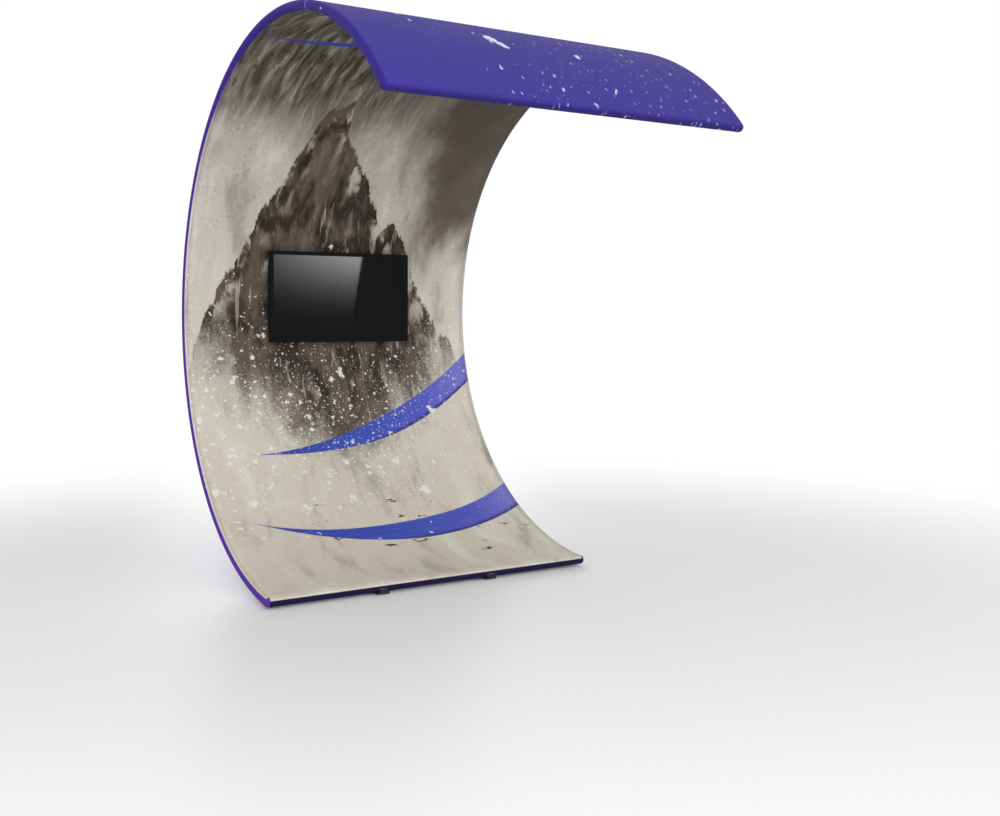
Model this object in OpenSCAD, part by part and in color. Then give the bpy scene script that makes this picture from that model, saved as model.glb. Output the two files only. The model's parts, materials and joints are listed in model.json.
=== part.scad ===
// A free-standing display wall. Two hoops of joined tubes carry crossbars, a zipped fabric cover is
// pulled over them, and a screen hangs on a tilting bracket inside the curve.
// X runs across the wall, Y from front to back, and Z up from the floor. A heading is a place along
// the hoop: 0 lies on the floor and points backwards, 90 is the upright back, and 180 is the crown.

/* [Hoops] */
// Radius of the hoops' centre line
hoop_radius = 1148; // [950:1:1400]
// Distance between the two hoops, centre to centre
hoop_span = 1532; // [1200:1:1900]
// Heading at which the hoops leave the base bar
start_heading = 4; // [2:0.5:8]
// Angle that each of the four hoop sections covers
section_angle = 57; // [50:0.5:58]
// How far before a hoop joint each crossbar sits, as an angle
crossbar_setback = 4; // [3:0.5:8]

/* [Tubes] */
// Outer diameter of the hoop, base and lip tubes
hoop_od = 36; // [32:1:45]
// Wall of the hoop, base and lip tubes
hoop_wall = 1.6; // [1.2:0.1:2.4]
// Outer diameter of the crossbars, the mast and the legs
bar_od = 30; // [24:1:30]
// Wall of the crossbars, the mast and the legs
bar_wall = 1.5; // [1.2:0.1:2.2]
// Radial clearance of a spigot in its tube
spigot_clearance = 0.1; // [0.05:0.05:0.3]
// Length of the swaged spigot on a hoop section
hoop_spigot = 100; // [90:5:140]
// Length of the swaged spigot on a bar
bar_spigot = 90; // [85:5:120]
// Length of the plugs on the corner elbows, tees and clamps
plug_length = 50; // [30:5:80]

/* [Snap buttons] */
// Diameter of a snap button
button_d = 8; // [6:0.5:9]
// How far a button stands out of its tube
button_rise = 3.6; // [3:0.1:4.5]
// Radial clearance of a button in its hole
button_clearance = 0.2; // [0.1:0.05:0.4]

/* [Cover] */
// Thickness of the cover's fabric
fabric = 1; // [0.6:0.1:1.5]
// Gap between the fabric and the hoop tubes
fabric_gap = 0.4; // [0.3:0.1:1]
// Heading of the zip along the back of the cover
zip_heading = 20; // [15:0.5:28]
// Width of the slot that the zip closes
zip_slot = 14; // [12:0.5:18]

/* [Feet] */
// Distance of each foot from the middle of the wall
foot_offset = 265; // [150:5:450]
// Width of a foot plate
foot_width = 60; // [56:1:90]
// Thickness of a foot plate
foot_plate_t = 6; // [5:0.5:10]
// Thickness of the pads under the feet
pad_t = 2; // [1.5:0.5:5]
// Distance between a foot's two anchor holes
anchor_spacing = 380; // [250:5:420]
// Distance from the leg to the rear anchor hole
anchor_setback = 83; // [60:1:100]
// Diameter of an anchor hole
anchor_d = 11; // [8:0.5:14]

/* [Screen] */
// Width of the screen's housing
screen_w = 765; // [600:1:950]
// Height of the screen's housing
screen_h = 450; // [380:1:560]
// Thickness of the housing at its edges
screen_edge = 30; // [28:1:40]
// Thickness of the housing over its electronics
screen_depth = 52; // [48:1:70]
// Width of the bezel
bezel = 18.5; // [10:0.5:30]
// Height of the screen's centre above the hoops' centre
screen_rise = 78; // [0:1:120]
// Half the side of the square of fixing screws on its back
fixing_half = 100; // [100:1:110]
// Gap between the bracket plate and the fabric at the screen's centre
mount_gap = 15; // [13:0.5:30]

/* [Hidden] */
$fn = 64;
HOOP_FN = 240;
SIDES = [-1, 1];

TUBE_COLOUR = [0.76, 0.77, 0.79];
MOULDED_COLOUR = [0.16, 0.16, 0.18];
STEEL_COLOUR = [0.45, 0.46, 0.48];
RUBBER_COLOUR = [0.08, 0.08, 0.08];
PRINT_COLOUR = [0.40, 0.36, 0.35];
COVER_COLOUR = [0.27, 0.22, 0.50];
HOUSING_COLOUR = [0.05, 0.05, 0.06];

// Tubes
HOOP_R = hoop_od / 2;
HOOP_BORE = HOOP_R - hoop_wall;
BAR_R = bar_od / 2;
BAR_BORE = BAR_R - bar_wall;
JOINT_GAP = 0.2;
SWAGE = 30;
RUNNING_GAP = 0.3;

// The cover lies this far either side of the hoops' centre line
COVER_IN = HOOP_R + fabric_gap;
COVER_OUT = COVER_IN + fabric;
SEAM_STEP = 0.2;
SEAM_LAP = 0.4;

// Hoop circle
FOOT_TOP = pad_t + foot_plate_t;
COVER_LIFT = 0.6;
BASE_Z = FOOT_TOP + COVER_LIFT + COVER_OUT;
END_HEADING = start_heading + 4 * section_angle;
CENTRE_Z = BASE_Z + hoop_radius * cos(start_heading);
FRONT_Y = hoop_radius * sin(END_HEADING) - SEAM_LAP * cos(END_HEADING) - COVER_OUT + SEAM_STEP;
BACK_Y = hoop_radius + COVER_OUT;
CENTRE_Y = -(FRONT_Y + BACK_Y) / 2;

LOW_HEADING = start_heading + section_angle - crossbar_setback;
HIGH_HEADING = LOW_HEADING + section_angle;
CROWN_HEADING = HIGH_HEADING + section_angle;
CROSSBARS = [LOW_HEADING, HIGH_HEADING, CROWN_HEADING];

// Fittings
ELBOW_LENGTH = 24;
ELBOW_GAP = 0.6;
TEE_LENGTH = 28;
CLAMP_LENGTH = 40;
CLAMP_CLEARANCE = 0.15;
SCREW_R = 3;
SCREW_HOLE_R = 3.3;
SCREW_HEAD_R = 6.5;
SCREW_HEAD_H = 4;
ACCESS_R = 7.5;
HEX_SOCKET_R = 2.9;
NUT_R = 5.8;
NUT_H = 5;
SADDLE_GAP = 0.2;
LUG_WIDTH = 24;
LUG_REACH = 12;
LUG_T = 14;
PINCH_SLOT = 2;

// Snap buttons
BUTTON_R = button_d / 2;
BUTTON_FLANGE = 2;
BUTTON_FLANGE_T = 1.2;
BUTTON_SETBACK = 50;
BAR_BUTTON_X = 45;
LEAF_T = 0.8;
LEAF_WIDTH = 8;
LEAF_REACH = 30;

// Feet and legs
LEG_Y = CENTRE_Y + hoop_radius * sin(LOW_HEADING);
LEG_TOP = CENTRE_Z - hoop_radius * cos(LOW_HEADING) - ELBOW_LENGTH;
BASE_Y = CENTRE_Y + hoop_radius * sin(start_heading);
FOOT_FRONT = BASE_Y - COVER_OUT - 1;
FOOT_BACK = LEG_Y + foot_width / 2 + 30;
FLANGE_T = 5;
FLANGE_BOLT = foot_width / 2 - 8;
SADDLE_WIDTH = 34;
SADDLE_DEPTH = 42;
SADDLE_RISE = 16;
NOTCH_GAP = 1;
PAD_SIZE = 50;
LEG_HOLE_GAP = 1.2;
GROMMET_FLANGE = 7;
GROMMET_T = 2.5;

// Zip, in the cover's outer sheet
ZIP_HALF = hoop_span / 2 - 22;
ZIP_CHAIN = 3;
ZIP_RISE = 1.2;
SLIDER_LENGTH = 16;
SLIDER_WIDTH = 11;
SLIDER_T = 3.3;
SLIDER_X = ZIP_HALF - 20;
PULL_AXIS = 2.8;
PULL_EYE_R = 2.5;
PULL_LENGTH = 27;
PULL_BAR_R = 0.9;

// Screen and bracket, from the fabric forwards
SCREEN_Z = CENTRE_Z + screen_rise;
WALL_Y = CENTRE_Y + sqrt(pow(hoop_radius - COVER_OUT, 2) - pow(screen_rise, 2));
PLATE_T = 3;
PLATE_BACK = WALL_Y - mount_gap;
PLATE_FRONT = PLATE_BACK - PLATE_T;
PLATE_W = 2 * fixing_half + 60;
PLATE_H = 180;
PIVOT_Y = PLATE_FRONT - 10;
PIVOT_R = 4;
PIVOT_CLEARANCE = 0.15;
ARM_T = 2;
ARM_WIDTH = 20;
ARM_DEPTH = 10;
ARM_LOBE_R = 8;
ARM_BACK = PIVOT_Y - 12;
SCREEN_BACK = ARM_BACK - ARM_T;
SCREEN_FRONT = SCREEN_BACK - screen_depth;
EAR_X = fixing_half + ARM_WIDTH / 2 + 2.3;
EAR_T = 3;
EAR_LOBE_R = 9;
BOSS = 24;
BOSS_THREAD = 9;
CUT_OUT = 30;
CLAMP_OFFSET = 60;
BOSS_HEIGHTS = [SCREEN_Z - CLAMP_OFFSET, SCREEN_Z + CLAMP_OFFSET];
BEZEL_DEPTH = 14;
BEZEL_LIP = 2;
BEZEL_WALL = 10;
GLASS_T = 3;
HOUSING_WALL = 2.5;
HOUSING_CORNER = 8;
BULGE_W = 440;
BULGE_H = 300;
POWER_X = screen_w / 2 - 60;
POWER_R = 3;
BEVEL = 6;
POWER_DEPTH = (BEZEL_DEPTH + screen_edge - BEVEL) / 2;

function heading_at(height) = acos((CENTRE_Z - height) / hoop_radius);
function arc_angle(length) = length / hoop_radius * 180 / PI;
function joint_heading(i) = start_heading + i * section_angle;

// ---------------------------------------------------------------- shared shapes

module ring(outer, inner) {
    difference() {
        circle(outer);
        circle(inner);
    }
}

// A rectangle with round corners, centred
module rounded(w, h, r) {
    square([w - 2 * r, h], center = true);
    square([w, h - 2 * r], center = true);
    for (x = SIDES, y = SIDES)
        translate([x * (w / 2 - r), y * (h / 2 - r)]) circle(r);
}

// Sweeps a flat shape along the hoops' circle. Its first axis is the distance from the centre, and its
// second runs across the wall.
module along_hoop(from, to) {
    translate([0, CENTRE_Y, CENTRE_Z])
        rotate([90, 0, 90])
            rotate([0, 0, from - 90])
                rotate_extrude(angle = to - from, $fn = HOOP_FN)
                    children();
}

// The same for a tube, or a rod where inner is 0, centred on the hoops' line at x
module hoop_tube(from, to, x, outer, inner = 0) {
    along_hoop(min(from, to), max(from, to))
        translate([hoop_radius, x])
            if (inner > 0) ring(outer, inner);
            else circle(outer);
}

// Puts its child on the hoops' line: its own Y points along the hoop and its own Z towards the centre
module at(heading, x) {
    translate([0, CENTRE_Y, CENTRE_Z])
        rotate([heading, 0, 0])
            translate([x, 0, -hoop_radius])
                children();
}

// Turns a child that points up so that it points along X, to the right where side is 1
module sideways(side) {
    rotate([0, side * 90, 0]) children();
}

// Turns a child that points up so that it points along the hoop, forwards where turn is 1
module onwards(turn) {
    rotate([-90 * turn, 0, 0]) children();
}

// A screw that points up, with its head's underside at z = 0
module screw(length, head_r = SCREW_HEAD_R, head_h = SCREW_HEAD_H) {
    difference() {
        union() {
            translate([0, 0, -head_h]) cylinder(r = head_r, h = head_h);
            translate([0, 0, -head_h / 2]) cylinder(r = SCREW_R, h = length + head_h / 2);
        }
        translate([0, 0, -head_h - 1]) cylinder(r = HEX_SOCKET_R, h = 1 + head_h * 0.6, $fn = 6);
    }
}

// A hexagon nut that stands on z = 0
module nut(r, h, thread_r) {
    difference() {
        cylinder(r = r, h = h, $fn = 6);
        translate([0, 0, -1]) cylinder(r = thread_r + 0.1, h = h + 2);
    }
}

// A clamp's ring lies along X. Its two lugs reach towards +Y, with a slot between them that a bolt
// draws shut.
module pinch_lugs() {
    translate([-LUG_WIDTH / 2, HOOP_R - 2, -LUG_T / 2]) cube([LUG_WIDTH, LUG_REACH + 2, LUG_T]);
}

module pinch_cut() {
    translate([-CLAMP_LENGTH / 2 - 1, 0, -PINCH_SLOT / 2])
        cube([CLAMP_LENGTH + 2, HOOP_R + LUG_REACH + 1, PINCH_SLOT]);
    pinch_bolt_line() cylinder(r = SCREW_HOLE_R, h = LUG_T + 2, center = true);
}

module pinch_bolt() {
    color(STEEL_COLOUR)
        pinch_bolt_line() {
            translate([0, 0, -LUG_T / 2]) screw(LUG_T + NUT_H + 1, 5, 3.5);
            translate([0, 0, LUG_T / 2]) nut(NUT_R, NUT_H, SCREW_R);
        }
}

module pinch_bolt_line() {
    translate([0, HOOP_R + LUG_REACH - NUT_R - 0.7, 0]) children();
}

// ---------------------------------------------------------------- hoops

// The place of a hoop joint's button, with Z pointing to the middle of the wall
module hoop_button_place(side, joint) {
    at(joint_heading(joint) + arc_angle(BUTTON_SETBACK), side * hoop_span / 2)
        sideways(-side)
            children();
}

// The holes of the screw that holds a crossbar: one in the wall that it passes, one to reach its head
module crossbar_holes(side, bar) {
    at(CROSSBARS[bar], side * hoop_span / 2) {
        sideways(-side) cylinder(r = SCREW_HOLE_R, h = HOOP_R + 1);
        sideways(side) cylinder(r = ACCESS_R, h = HOOP_R + 1);
    }
}

// Section 1 stands on the base and section 4 ends at the lip. Each joins the next with a swaged spigot.
module hoop_section(side, i) {
    x = side * hoop_span / 2;
    from = joint_heading(i - 1) + arc_angle(i == 1 ? ELBOW_LENGTH + ELBOW_GAP : JOINT_GAP);
    to = joint_heading(i) - (i == 4 ? arc_angle(ELBOW_LENGTH + ELBOW_GAP) : 0);
    spigot_r = HOOP_BORE - spigot_clearance;
    color(TUBE_COLOUR)
        difference() {
            union() {
                hoop_tube(from, to, x, HOOP_R);
                if (i < 4) hoop_tube(to - 1, to + arc_angle(hoop_spigot), x, spigot_r);
            }
            hoop_tube(from - 1, i < 4 ? to - arc_angle(SWAGE) : to + 1, x, HOOP_BORE);
            if (i < 4)
                hoop_tube(to - arc_angle(SWAGE) - 1, to + arc_angle(hoop_spigot) + 1, x,
                    spigot_r - hoop_wall);
            if (i > 1)
                hoop_button_place(side, i - 1)
                    cylinder(r = BUTTON_R + button_clearance, h = HOOP_R + 1);
            if (i < 4) {
                hoop_button_place(side, i) cylinder(r = BUTTON_R + button_clearance, h = HOOP_R + 1);
                crossbar_holes(side, i - 1);
            }
        }
}

// ---------------------------------------------------------------- bars across the wall

// A bar in two halves. The left half's spigot reaches into the right half, and its button points
// along the hoop, forwards where turn is 1.
module bar_half(heading, side, r, wall, end_length, turn) {
    bore = r - wall;
    spigot_r = bore - spigot_clearance;
    length = hoop_span / 2 - end_length - JOINT_GAP;
    difference() {
        union() {
            at(heading, side < 0 ? 0 : JOINT_GAP)
                sideways(side)
                    linear_extrude(side < 0 ? length : length - JOINT_GAP) ring(r, bore);
            if (side < 0) {
                at(heading, -SWAGE) sideways(1) linear_extrude(SWAGE) ring(r, spigot_r - wall);
                at(heading, -SWAGE)
                    sideways(1)
                        linear_extrude(SWAGE + bar_spigot) ring(spigot_r, spigot_r - wall);
            }
        }
        bar_button_place(heading, turn) cylinder(r = BUTTON_R + button_clearance, h = r + 1);
    }
}

module bar_button_place(heading, turn) {
    at(heading, BAR_BUTTON_X) onwards(turn) children();
}

module base_bar(side) {
    color(TUBE_COLOUR)
        difference() {
            bar_half(start_heading, side, HOOP_R, hoop_wall, ELBOW_LENGTH, 1);
            translate([side * foot_offset, BASE_Y, BASE_Z - HOOP_R - 1])
                cylinder(r = SCREW_HOLE_R, h = HOOP_R);
        }
}

module lip_bar(side) {
    color(TUBE_COLOUR) bar_half(END_HEADING, side, HOOP_R, hoop_wall, ELBOW_LENGTH, -1);
}

module crossbar(i, side) {
    color(TUBE_COLOUR) bar_half(CROSSBARS[i], side, BAR_R, bar_wall, TEE_LENGTH, 1);
}

// ---------------------------------------------------------------- fittings of the frame

// A bend between a hoop's end and the base or lip bar, with a plug in each tube
module corner_elbow(side, heading, turn) {
    x = side * hoop_span / 2;
    plug_r = HOOP_BORE - spigot_clearance;
    root = ELBOW_LENGTH * 0.75;
    at(heading, x) {
        scale([-side, turn, 1])
            translate([ELBOW_LENGTH, ELBOW_LENGTH, 0])
                rotate([0, 0, 180])
                    rotate_extrude(angle = 90)
                        translate([ELBOW_LENGTH, 0]) circle(HOOP_R);
        translate([-side * root, 0, 0])
            sideways(-side) cylinder(r = plug_r, h = ELBOW_LENGTH + plug_length - root);
    }
    hoop_tube(heading + turn * arc_angle(root), heading + turn * arc_angle(ELBOW_LENGTH + plug_length),
        x, plug_r);
}

module corner_elbows() {
    color(MOULDED_COLOUR)
        for (side = SIDES) {
            corner_elbow(side, start_heading, 1);
            corner_elbow(side, END_HEADING, -1);
        }
}

// A plug in a crossbar's end, coped to the hoop and bored for its screw
module tee_fittings() {
    color(MOULDED_COLOUR)
        for (side = SIDES, heading = CROSSBARS)
            difference() {
                at(heading, side * hoop_span / 2)
                    sideways(-side)
                        difference() {
                            union() {
                                cylinder(r = BAR_R, h = TEE_LENGTH);
                                cylinder(r = BAR_BORE - spigot_clearance, h = TEE_LENGTH + plug_length);
                            }
                            cylinder(r = SCREW_R + 0.1, h = TEE_LENGTH + plug_length + 1);
                        }
                hoop_tube(heading - arc_angle(2 * HOOP_R), heading + arc_angle(2 * HOOP_R),
                    side * hoop_span / 2, HOOP_R + SADDLE_GAP);
            }
}

// The screws that hold the crossbars, and the pinch bolts of the clamps on them
module frame_screws() {
    seat = sqrt(pow(HOOP_BORE, 2) - pow(SCREW_HEAD_R, 2)) - 0.1;
    color(STEEL_COLOUR)
        for (side = SIDES, heading = CROSSBARS)
            at(heading, side * hoop_span / 2)
                sideways(-side)
                    translate([0, 0, seat]) screw(TEE_LENGTH + plug_length * 0.6 - seat);
    at(LOW_HEADING, 0) mirror([0, 1, 0]) pinch_bolt();
    at(HIGH_HEADING, 0) pinch_bolt();
    for (side = SIDES) at(LOW_HEADING, side * foot_offset) pinch_bolt();
}

module centre_mast() {
    color(TUBE_COLOUR)
        hoop_tube(LOW_HEADING + arc_angle(ELBOW_LENGTH + JOINT_GAP),
            HIGH_HEADING - arc_angle(ELBOW_LENGTH + JOINT_GAP), 0, BAR_R, BAR_BORE);
}

// A split ring on a crossbar with a curved plug in the mast's end
module mast_clamp(heading, turn) {
    difference() {
        union() {
            at(heading, 0) {
                sideways(1) cylinder(r = HOOP_R, h = CLAMP_LENGTH, center = true);
                scale([1, -turn, 1]) pinch_lugs();
            }
            hoop_tube(heading, heading + turn * arc_angle(ELBOW_LENGTH), 0, BAR_R);
            hoop_tube(heading, heading + turn * arc_angle(ELBOW_LENGTH + plug_length), 0,
                BAR_BORE - spigot_clearance);
        }
        at(heading, 0) {
            sideways(1) cylinder(r = BAR_R + CLAMP_CLEARANCE, h = CLAMP_LENGTH + 2, center = true);
            scale([1, -turn, 1]) pinch_cut();
        }
    }
}

module mast_clamps() {
    color(MOULDED_COLOUR) {
        mast_clamp(LOW_HEADING, 1);
        mast_clamp(HIGH_HEADING, -1);
    }
}

// ---------------------------------------------------------------- snap buttons

// A button that points up from the middle of a tube, with its flange under the wall of the spigot
module button(tube_r, wall) {
    spigot_bore = tube_r - 2 * wall - spigot_clearance;
    flange_r = BUTTON_R + BUTTON_FLANGE;
    top = tube_r + button_rise;
    edge = 1.2;
    seat = sqrt(pow(spigot_bore, 2) - pow(flange_r, 2)) - 0.1;
    color(STEEL_COLOUR) {
        translate([0, 0, seat - BUTTON_FLANGE_T]) cylinder(r = flange_r, h = BUTTON_FLANGE_T);
        rotate_extrude() {
            translate([0, seat - BUTTON_FLANGE_T / 2])
                square([BUTTON_R, top - edge - seat + BUTTON_FLANGE_T / 2]);
            translate([0, seat]) square([BUTTON_R - edge, top - seat]);
            translate([BUTTON_R - edge, top - edge])
                intersection() {
                    circle(edge);
                    square(edge);
                }
        }
    }
}

module hoop_button(side, joint) {
    hoop_button_place(side, joint) button(HOOP_R, hoop_wall);
}

module bar_button(heading, turn, tube_r, wall) {
    bar_button_place(heading, turn) button(tube_r, wall);
}

// The leaf spring behind a button: one leg on the far wall of the spigot, a bend, and one leg that
// carries the button. Z points at the button, and the bend lies along X.
module snap_spring(tube_r, wall) {
    spigot_bore = tube_r - 2 * wall - spigot_clearance;
    flange_r = BUTTON_R + BUTTON_FLANGE;
    seat = sqrt(pow(spigot_bore, 2) - pow(flange_r, 2)) - 0.1;
    high = seat - BUTTON_FLANGE_T - RUNNING_GAP - LEAF_T;
    low = -sqrt(pow(spigot_bore - RUNNING_GAP, 2) - pow(LEAF_WIDTH / 2, 2));
    pad = flange_r - 1;
    rise = high - low;
    run = LEAF_REACH - pad;
    rotate([90, 0, 0])
        linear_extrude(LEAF_WIDTH, center = true) {
            translate([-pad, high]) square([2 * pad, LEAF_T]);
            translate([-pad, low]) square([LEAF_REACH + pad, LEAF_T]);
            translate([pad, high + LEAF_T / 2])
                rotate(-atan2(rise, run))
                    translate([0, -LEAF_T / 2]) square([norm([rise, run]), LEAF_T]);
            translate([pad, high + LEAF_T / 2]) circle(LEAF_T / 2);
            translate([LEAF_REACH, low + LEAF_T / 2]) circle(LEAF_T / 2);
        }
}

module snap_springs() {
    color(STEEL_COLOUR) {
        for (side = SIDES, joint = [1:3])
            hoop_button_place(side, joint) rotate([0, 0, 90]) snap_spring(HOOP_R, hoop_wall);
        bar_button_place(start_heading, 1) snap_spring(HOOP_R, hoop_wall);
        bar_button_place(END_HEADING, -1) snap_spring(HOOP_R, hoop_wall);
        for (heading = CROSSBARS)
            bar_button_place(heading, 1) snap_spring(BAR_R, bar_wall);
    }
}

// ---------------------------------------------------------------- legs and feet

module leg(side) {
    color(TUBE_COLOUR)
        translate([side * foot_offset, LEG_Y, FOOT_TOP]) {
            difference() {
                linear_extrude(FLANGE_T) rounded(foot_width, foot_width, 6);
                flange_bolt_places() translate([0, 0, -1]) cylinder(r = SCREW_HOLE_R, h = FLANGE_T + 2);
            }
            translate([0, 0, FLANGE_T / 2])
                linear_extrude(LEG_TOP - FOOT_TOP - FLANGE_T / 2) ring(BAR_R, BAR_BORE);
        }
}

module flange_bolt_places() {
    for (x = SIDES, y = SIDES)
        translate([x * FLANGE_BOLT, y * FLANGE_BOLT, 0]) children();
}

// A split ring on the low crossbar with a plug in the leg's top
module leg_clamps() {
    color(MOULDED_COLOUR)
        for (side = SIDES)
            difference() {
                union() {
                    at(LOW_HEADING, side * foot_offset) {
                        sideways(1) cylinder(r = HOOP_R, h = CLAMP_LENGTH, center = true);
                        pinch_lugs();
                    }
                    translate([side * foot_offset, LEG_Y, LEG_TOP + JOINT_GAP])
                        cylinder(r = BAR_R, h = ELBOW_LENGTH - JOINT_GAP);
                    translate([side * foot_offset, LEG_Y, LEG_TOP - plug_length])
                        cylinder(r = BAR_BORE - spigot_clearance, h = ELBOW_LENGTH + plug_length);
                }
                at(LOW_HEADING, side * foot_offset) {
                    sideways(1)
                        cylinder(r = BAR_R + CLAMP_CLEARANCE, h = CLAMP_LENGTH + 2, center = true);
                    pinch_cut();
                }
            }
}

// An upright round cut or rod through the back of the cover, where a leg leaves it
module leg_line(side, r) {
    translate([side * foot_offset, LEG_Y, LEG_TOP - 80]) cylinder(r = r, h = 80 + ELBOW_LENGTH);
}

// The ring that lies on the cover round a leg, with a thin lip through the hole
module leg_grommets() {
    color(RUBBER_COLOUR)
        for (side = SIDES)
            difference() {
                union() {
                    intersection() {
                        leg_line(side, BAR_R + LEG_HOLE_GAP + GROMMET_FLANGE);
                        along_hoop(LOW_HEADING - 8, LOW_HEADING + 4)
                            translate([hoop_radius + COVER_OUT + RUNNING_GAP, side * foot_offset - 50])
                                square([GROMMET_T, 100]);
                    }
                    intersection() {
                        leg_line(side, BAR_R + LEG_HOLE_GAP - RUNNING_GAP);
                        along_hoop(LOW_HEADING - 8, LOW_HEADING + 4)
                            translate([hoop_radius + COVER_IN, side * foot_offset - 50])
                                square([fabric + RUNNING_GAP + GROMMET_T, 100]);
                    }
                }
                leg_line(side, BAR_R + RUNNING_GAP);
            }
}

module foot_plate(side) {
    length = FOOT_BACK - FOOT_FRONT;
    color(STEEL_COLOUR)
        difference() {
            translate([side * foot_offset, (FOOT_FRONT + FOOT_BACK) / 2, pad_t])
                linear_extrude(foot_plate_t) rounded(foot_width, length, 10);
            translate([side * foot_offset, 0, pad_t - 1]) {
                for (y = [LEG_Y - anchor_setback, LEG_Y - anchor_setback - anchor_spacing])
                    translate([0, y, 0]) cylinder(d = anchor_d, h = foot_plate_t + 2);
                translate([0, LEG_Y, 0])
                    flange_bolt_places() cylinder(r = SCREW_HOLE_R, h = foot_plate_t + 2);
                translate([0, BASE_Y, 0]) {
                    cylinder(r = SCREW_HOLE_R, h = foot_plate_t + 2);
                    translate([0, 0, 1 - 0.01])
                        cylinder(r1 = SCREW_HEAD_R, r2 = SCREW_HOLE_R, h = SCREW_HEAD_R - SCREW_HOLE_R);
                }
            }
        }
}

module foot_pads() {
    color(RUBBER_COLOUR)
        for (side = SIDES, y = [FOOT_FRONT + 35, (FOOT_FRONT + FOOT_BACK) / 2 - 60, FOOT_BACK - 30])
            translate([side * foot_offset, y, 0])
                linear_extrude(pad_t) rounded(PAD_SIZE, PAD_SIZE, 5);
}

// A cradle that carries the base bar on each foot plate, where the cover is notched
module foot_saddles() {
    color(MOULDED_COLOUR)
        for (side = SIDES)
            difference() {
                translate([side * foot_offset - SADDLE_WIDTH / 2, BASE_Y - SADDLE_DEPTH / 2, FOOT_TOP])
                    cube([SADDLE_WIDTH, SADDLE_DEPTH, SADDLE_RISE]);
                translate([side * foot_offset, BASE_Y, BASE_Z])
                    sideways(1) cylinder(r = HOOP_R + SADDLE_GAP, h = SADDLE_WIDTH + 2, center = true);
                translate([side * foot_offset, BASE_Y, FOOT_TOP - 1])
                    cylinder(r = SCREW_HOLE_R, h = SADDLE_RISE);
            }
}

// A countersunk bolt and nut for each saddle, and four bolts for each leg's flange
module foot_bolts() {
    nut_z = BASE_Z - sqrt(pow(HOOP_BORE, 2) - pow(NUT_R, 2)) + RUNNING_GAP;
    color(STEEL_COLOUR)
        for (side = SIDES) {
            translate([side * foot_offset, BASE_Y, 0]) {
                translate([0, 0, pad_t + RUNNING_GAP])
                    cylinder(r1 = SCREW_HEAD_R - 2 * RUNNING_GAP + 0.1, r2 = SCREW_R,
                        h = SCREW_HEAD_R - 2 * RUNNING_GAP + 0.1 - SCREW_R);
                translate([0, 0, pad_t + 1]) cylinder(r = SCREW_R, h = nut_z + NUT_H + 1 - pad_t);
                translate([0, 0, nut_z]) nut(NUT_R, NUT_H, SCREW_R);
            }
            translate([side * foot_offset, LEG_Y, FOOT_TOP + FLANGE_T])
                flange_bolt_places()
                    mirror([0, 0, 1]) screw(FLANGE_T + foot_plate_t - 0.5, 5, 3.5);
        }
}

// ---------------------------------------------------------------- cover

module boss_places() {
    for (z = BOSS_HEIGHTS)
        translate([0, 0, z]) children();
}

// The printed sheet on the inside of the curve, cut out for the two bosses of the bracket
module front_graphic() {
    half = hoop_span / 2 - JOINT_GAP;
    hem = arc_angle(SEAM_LAP + JOINT_GAP);
    color(PRINT_COLOUR)
        difference() {
            along_hoop(start_heading + hem, END_HEADING - hem)
                translate([hoop_radius - COVER_OUT, -half]) square([fabric, 2 * half]);
            boss_places()
                translate([-CUT_OUT / 2, PLATE_BACK, -CUT_OUT / 2])
                    cube([CUT_OUT, hoop_radius + CENTRE_Y - PLATE_BACK, CUT_OUT]);
        }
}

// The plain rest of the cover: the back sheet, the round side bands, and the round ends at base and
// lip, which are sewn in with a lap that lies inside the thickness of the fabric
module cover_end(heading, turn) {
    inner = COVER_IN + SEAM_STEP;
    outer = COVER_OUT - SEAM_STEP;
    at(heading, 0)
        translate([0, turn * SEAM_LAP, 0])
            rotate([90, 0, 90])
                rotate([0, 0, turn * 90])
                    rotate_extrude(angle = 180) {
                        translate([inner, -hoop_span / 2]) square([outer - inner, hoop_span]);
                        for (side = SIDES)
                            translate([0, side * hoop_span / 2])
                                intersection() {
                                    ring(outer, inner);
                                    translate([0, side > 0 ? 0 : -COVER_OUT]) square(COVER_OUT);
                                }
                    }
}

module cover_body() {
    along_hoop(start_heading, END_HEADING)
        translate([hoop_radius, 0]) {
            translate([COVER_IN, -hoop_span / 2]) square([fabric, hoop_span]);
            for (side = SIDES)
                translate([0, side * hoop_span / 2])
                    intersection() {
                        ring(COVER_OUT, COVER_IN);
                        translate([-COVER_OUT, side > 0 ? 0 : -COVER_OUT])
                            square([2 * COVER_OUT, COVER_OUT]);
                    }
        }
    cover_end(start_heading, 1);
    cover_end(END_HEADING, -1);
}

module rear_cover() {
    notch_w = SADDLE_WIDTH + 2 * NOTCH_GAP;
    notch_d = SADDLE_DEPTH + 2 * NOTCH_GAP;
    slot_angle = arc_angle(zip_slot / 2);
    color(COVER_COLOUR)
        difference() {
            cover_body();
            for (side = SIDES) {
                leg_line(side, BAR_R + LEG_HOLE_GAP);
                translate([side * foot_offset - notch_w / 2, BASE_Y - notch_d / 2, 0])
                    cube([notch_w, notch_d, FOOT_TOP + SADDLE_RISE + NOTCH_GAP]);
            }
            along_hoop(zip_heading - slot_angle, zip_heading + slot_angle)
                translate([hoop_radius + COVER_IN - 1, -ZIP_HALF]) square([fabric + 2, 2 * ZIP_HALF]);
        }
}

// ---------------------------------------------------------------- zip

module zip_strip(half_width, half_length, low, high) {
    along_hoop(zip_heading - arc_angle(half_width), zip_heading + arc_angle(half_width))
        translate([hoop_radius + low, -half_length]) square([high - low, 2 * half_length]);
}

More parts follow.
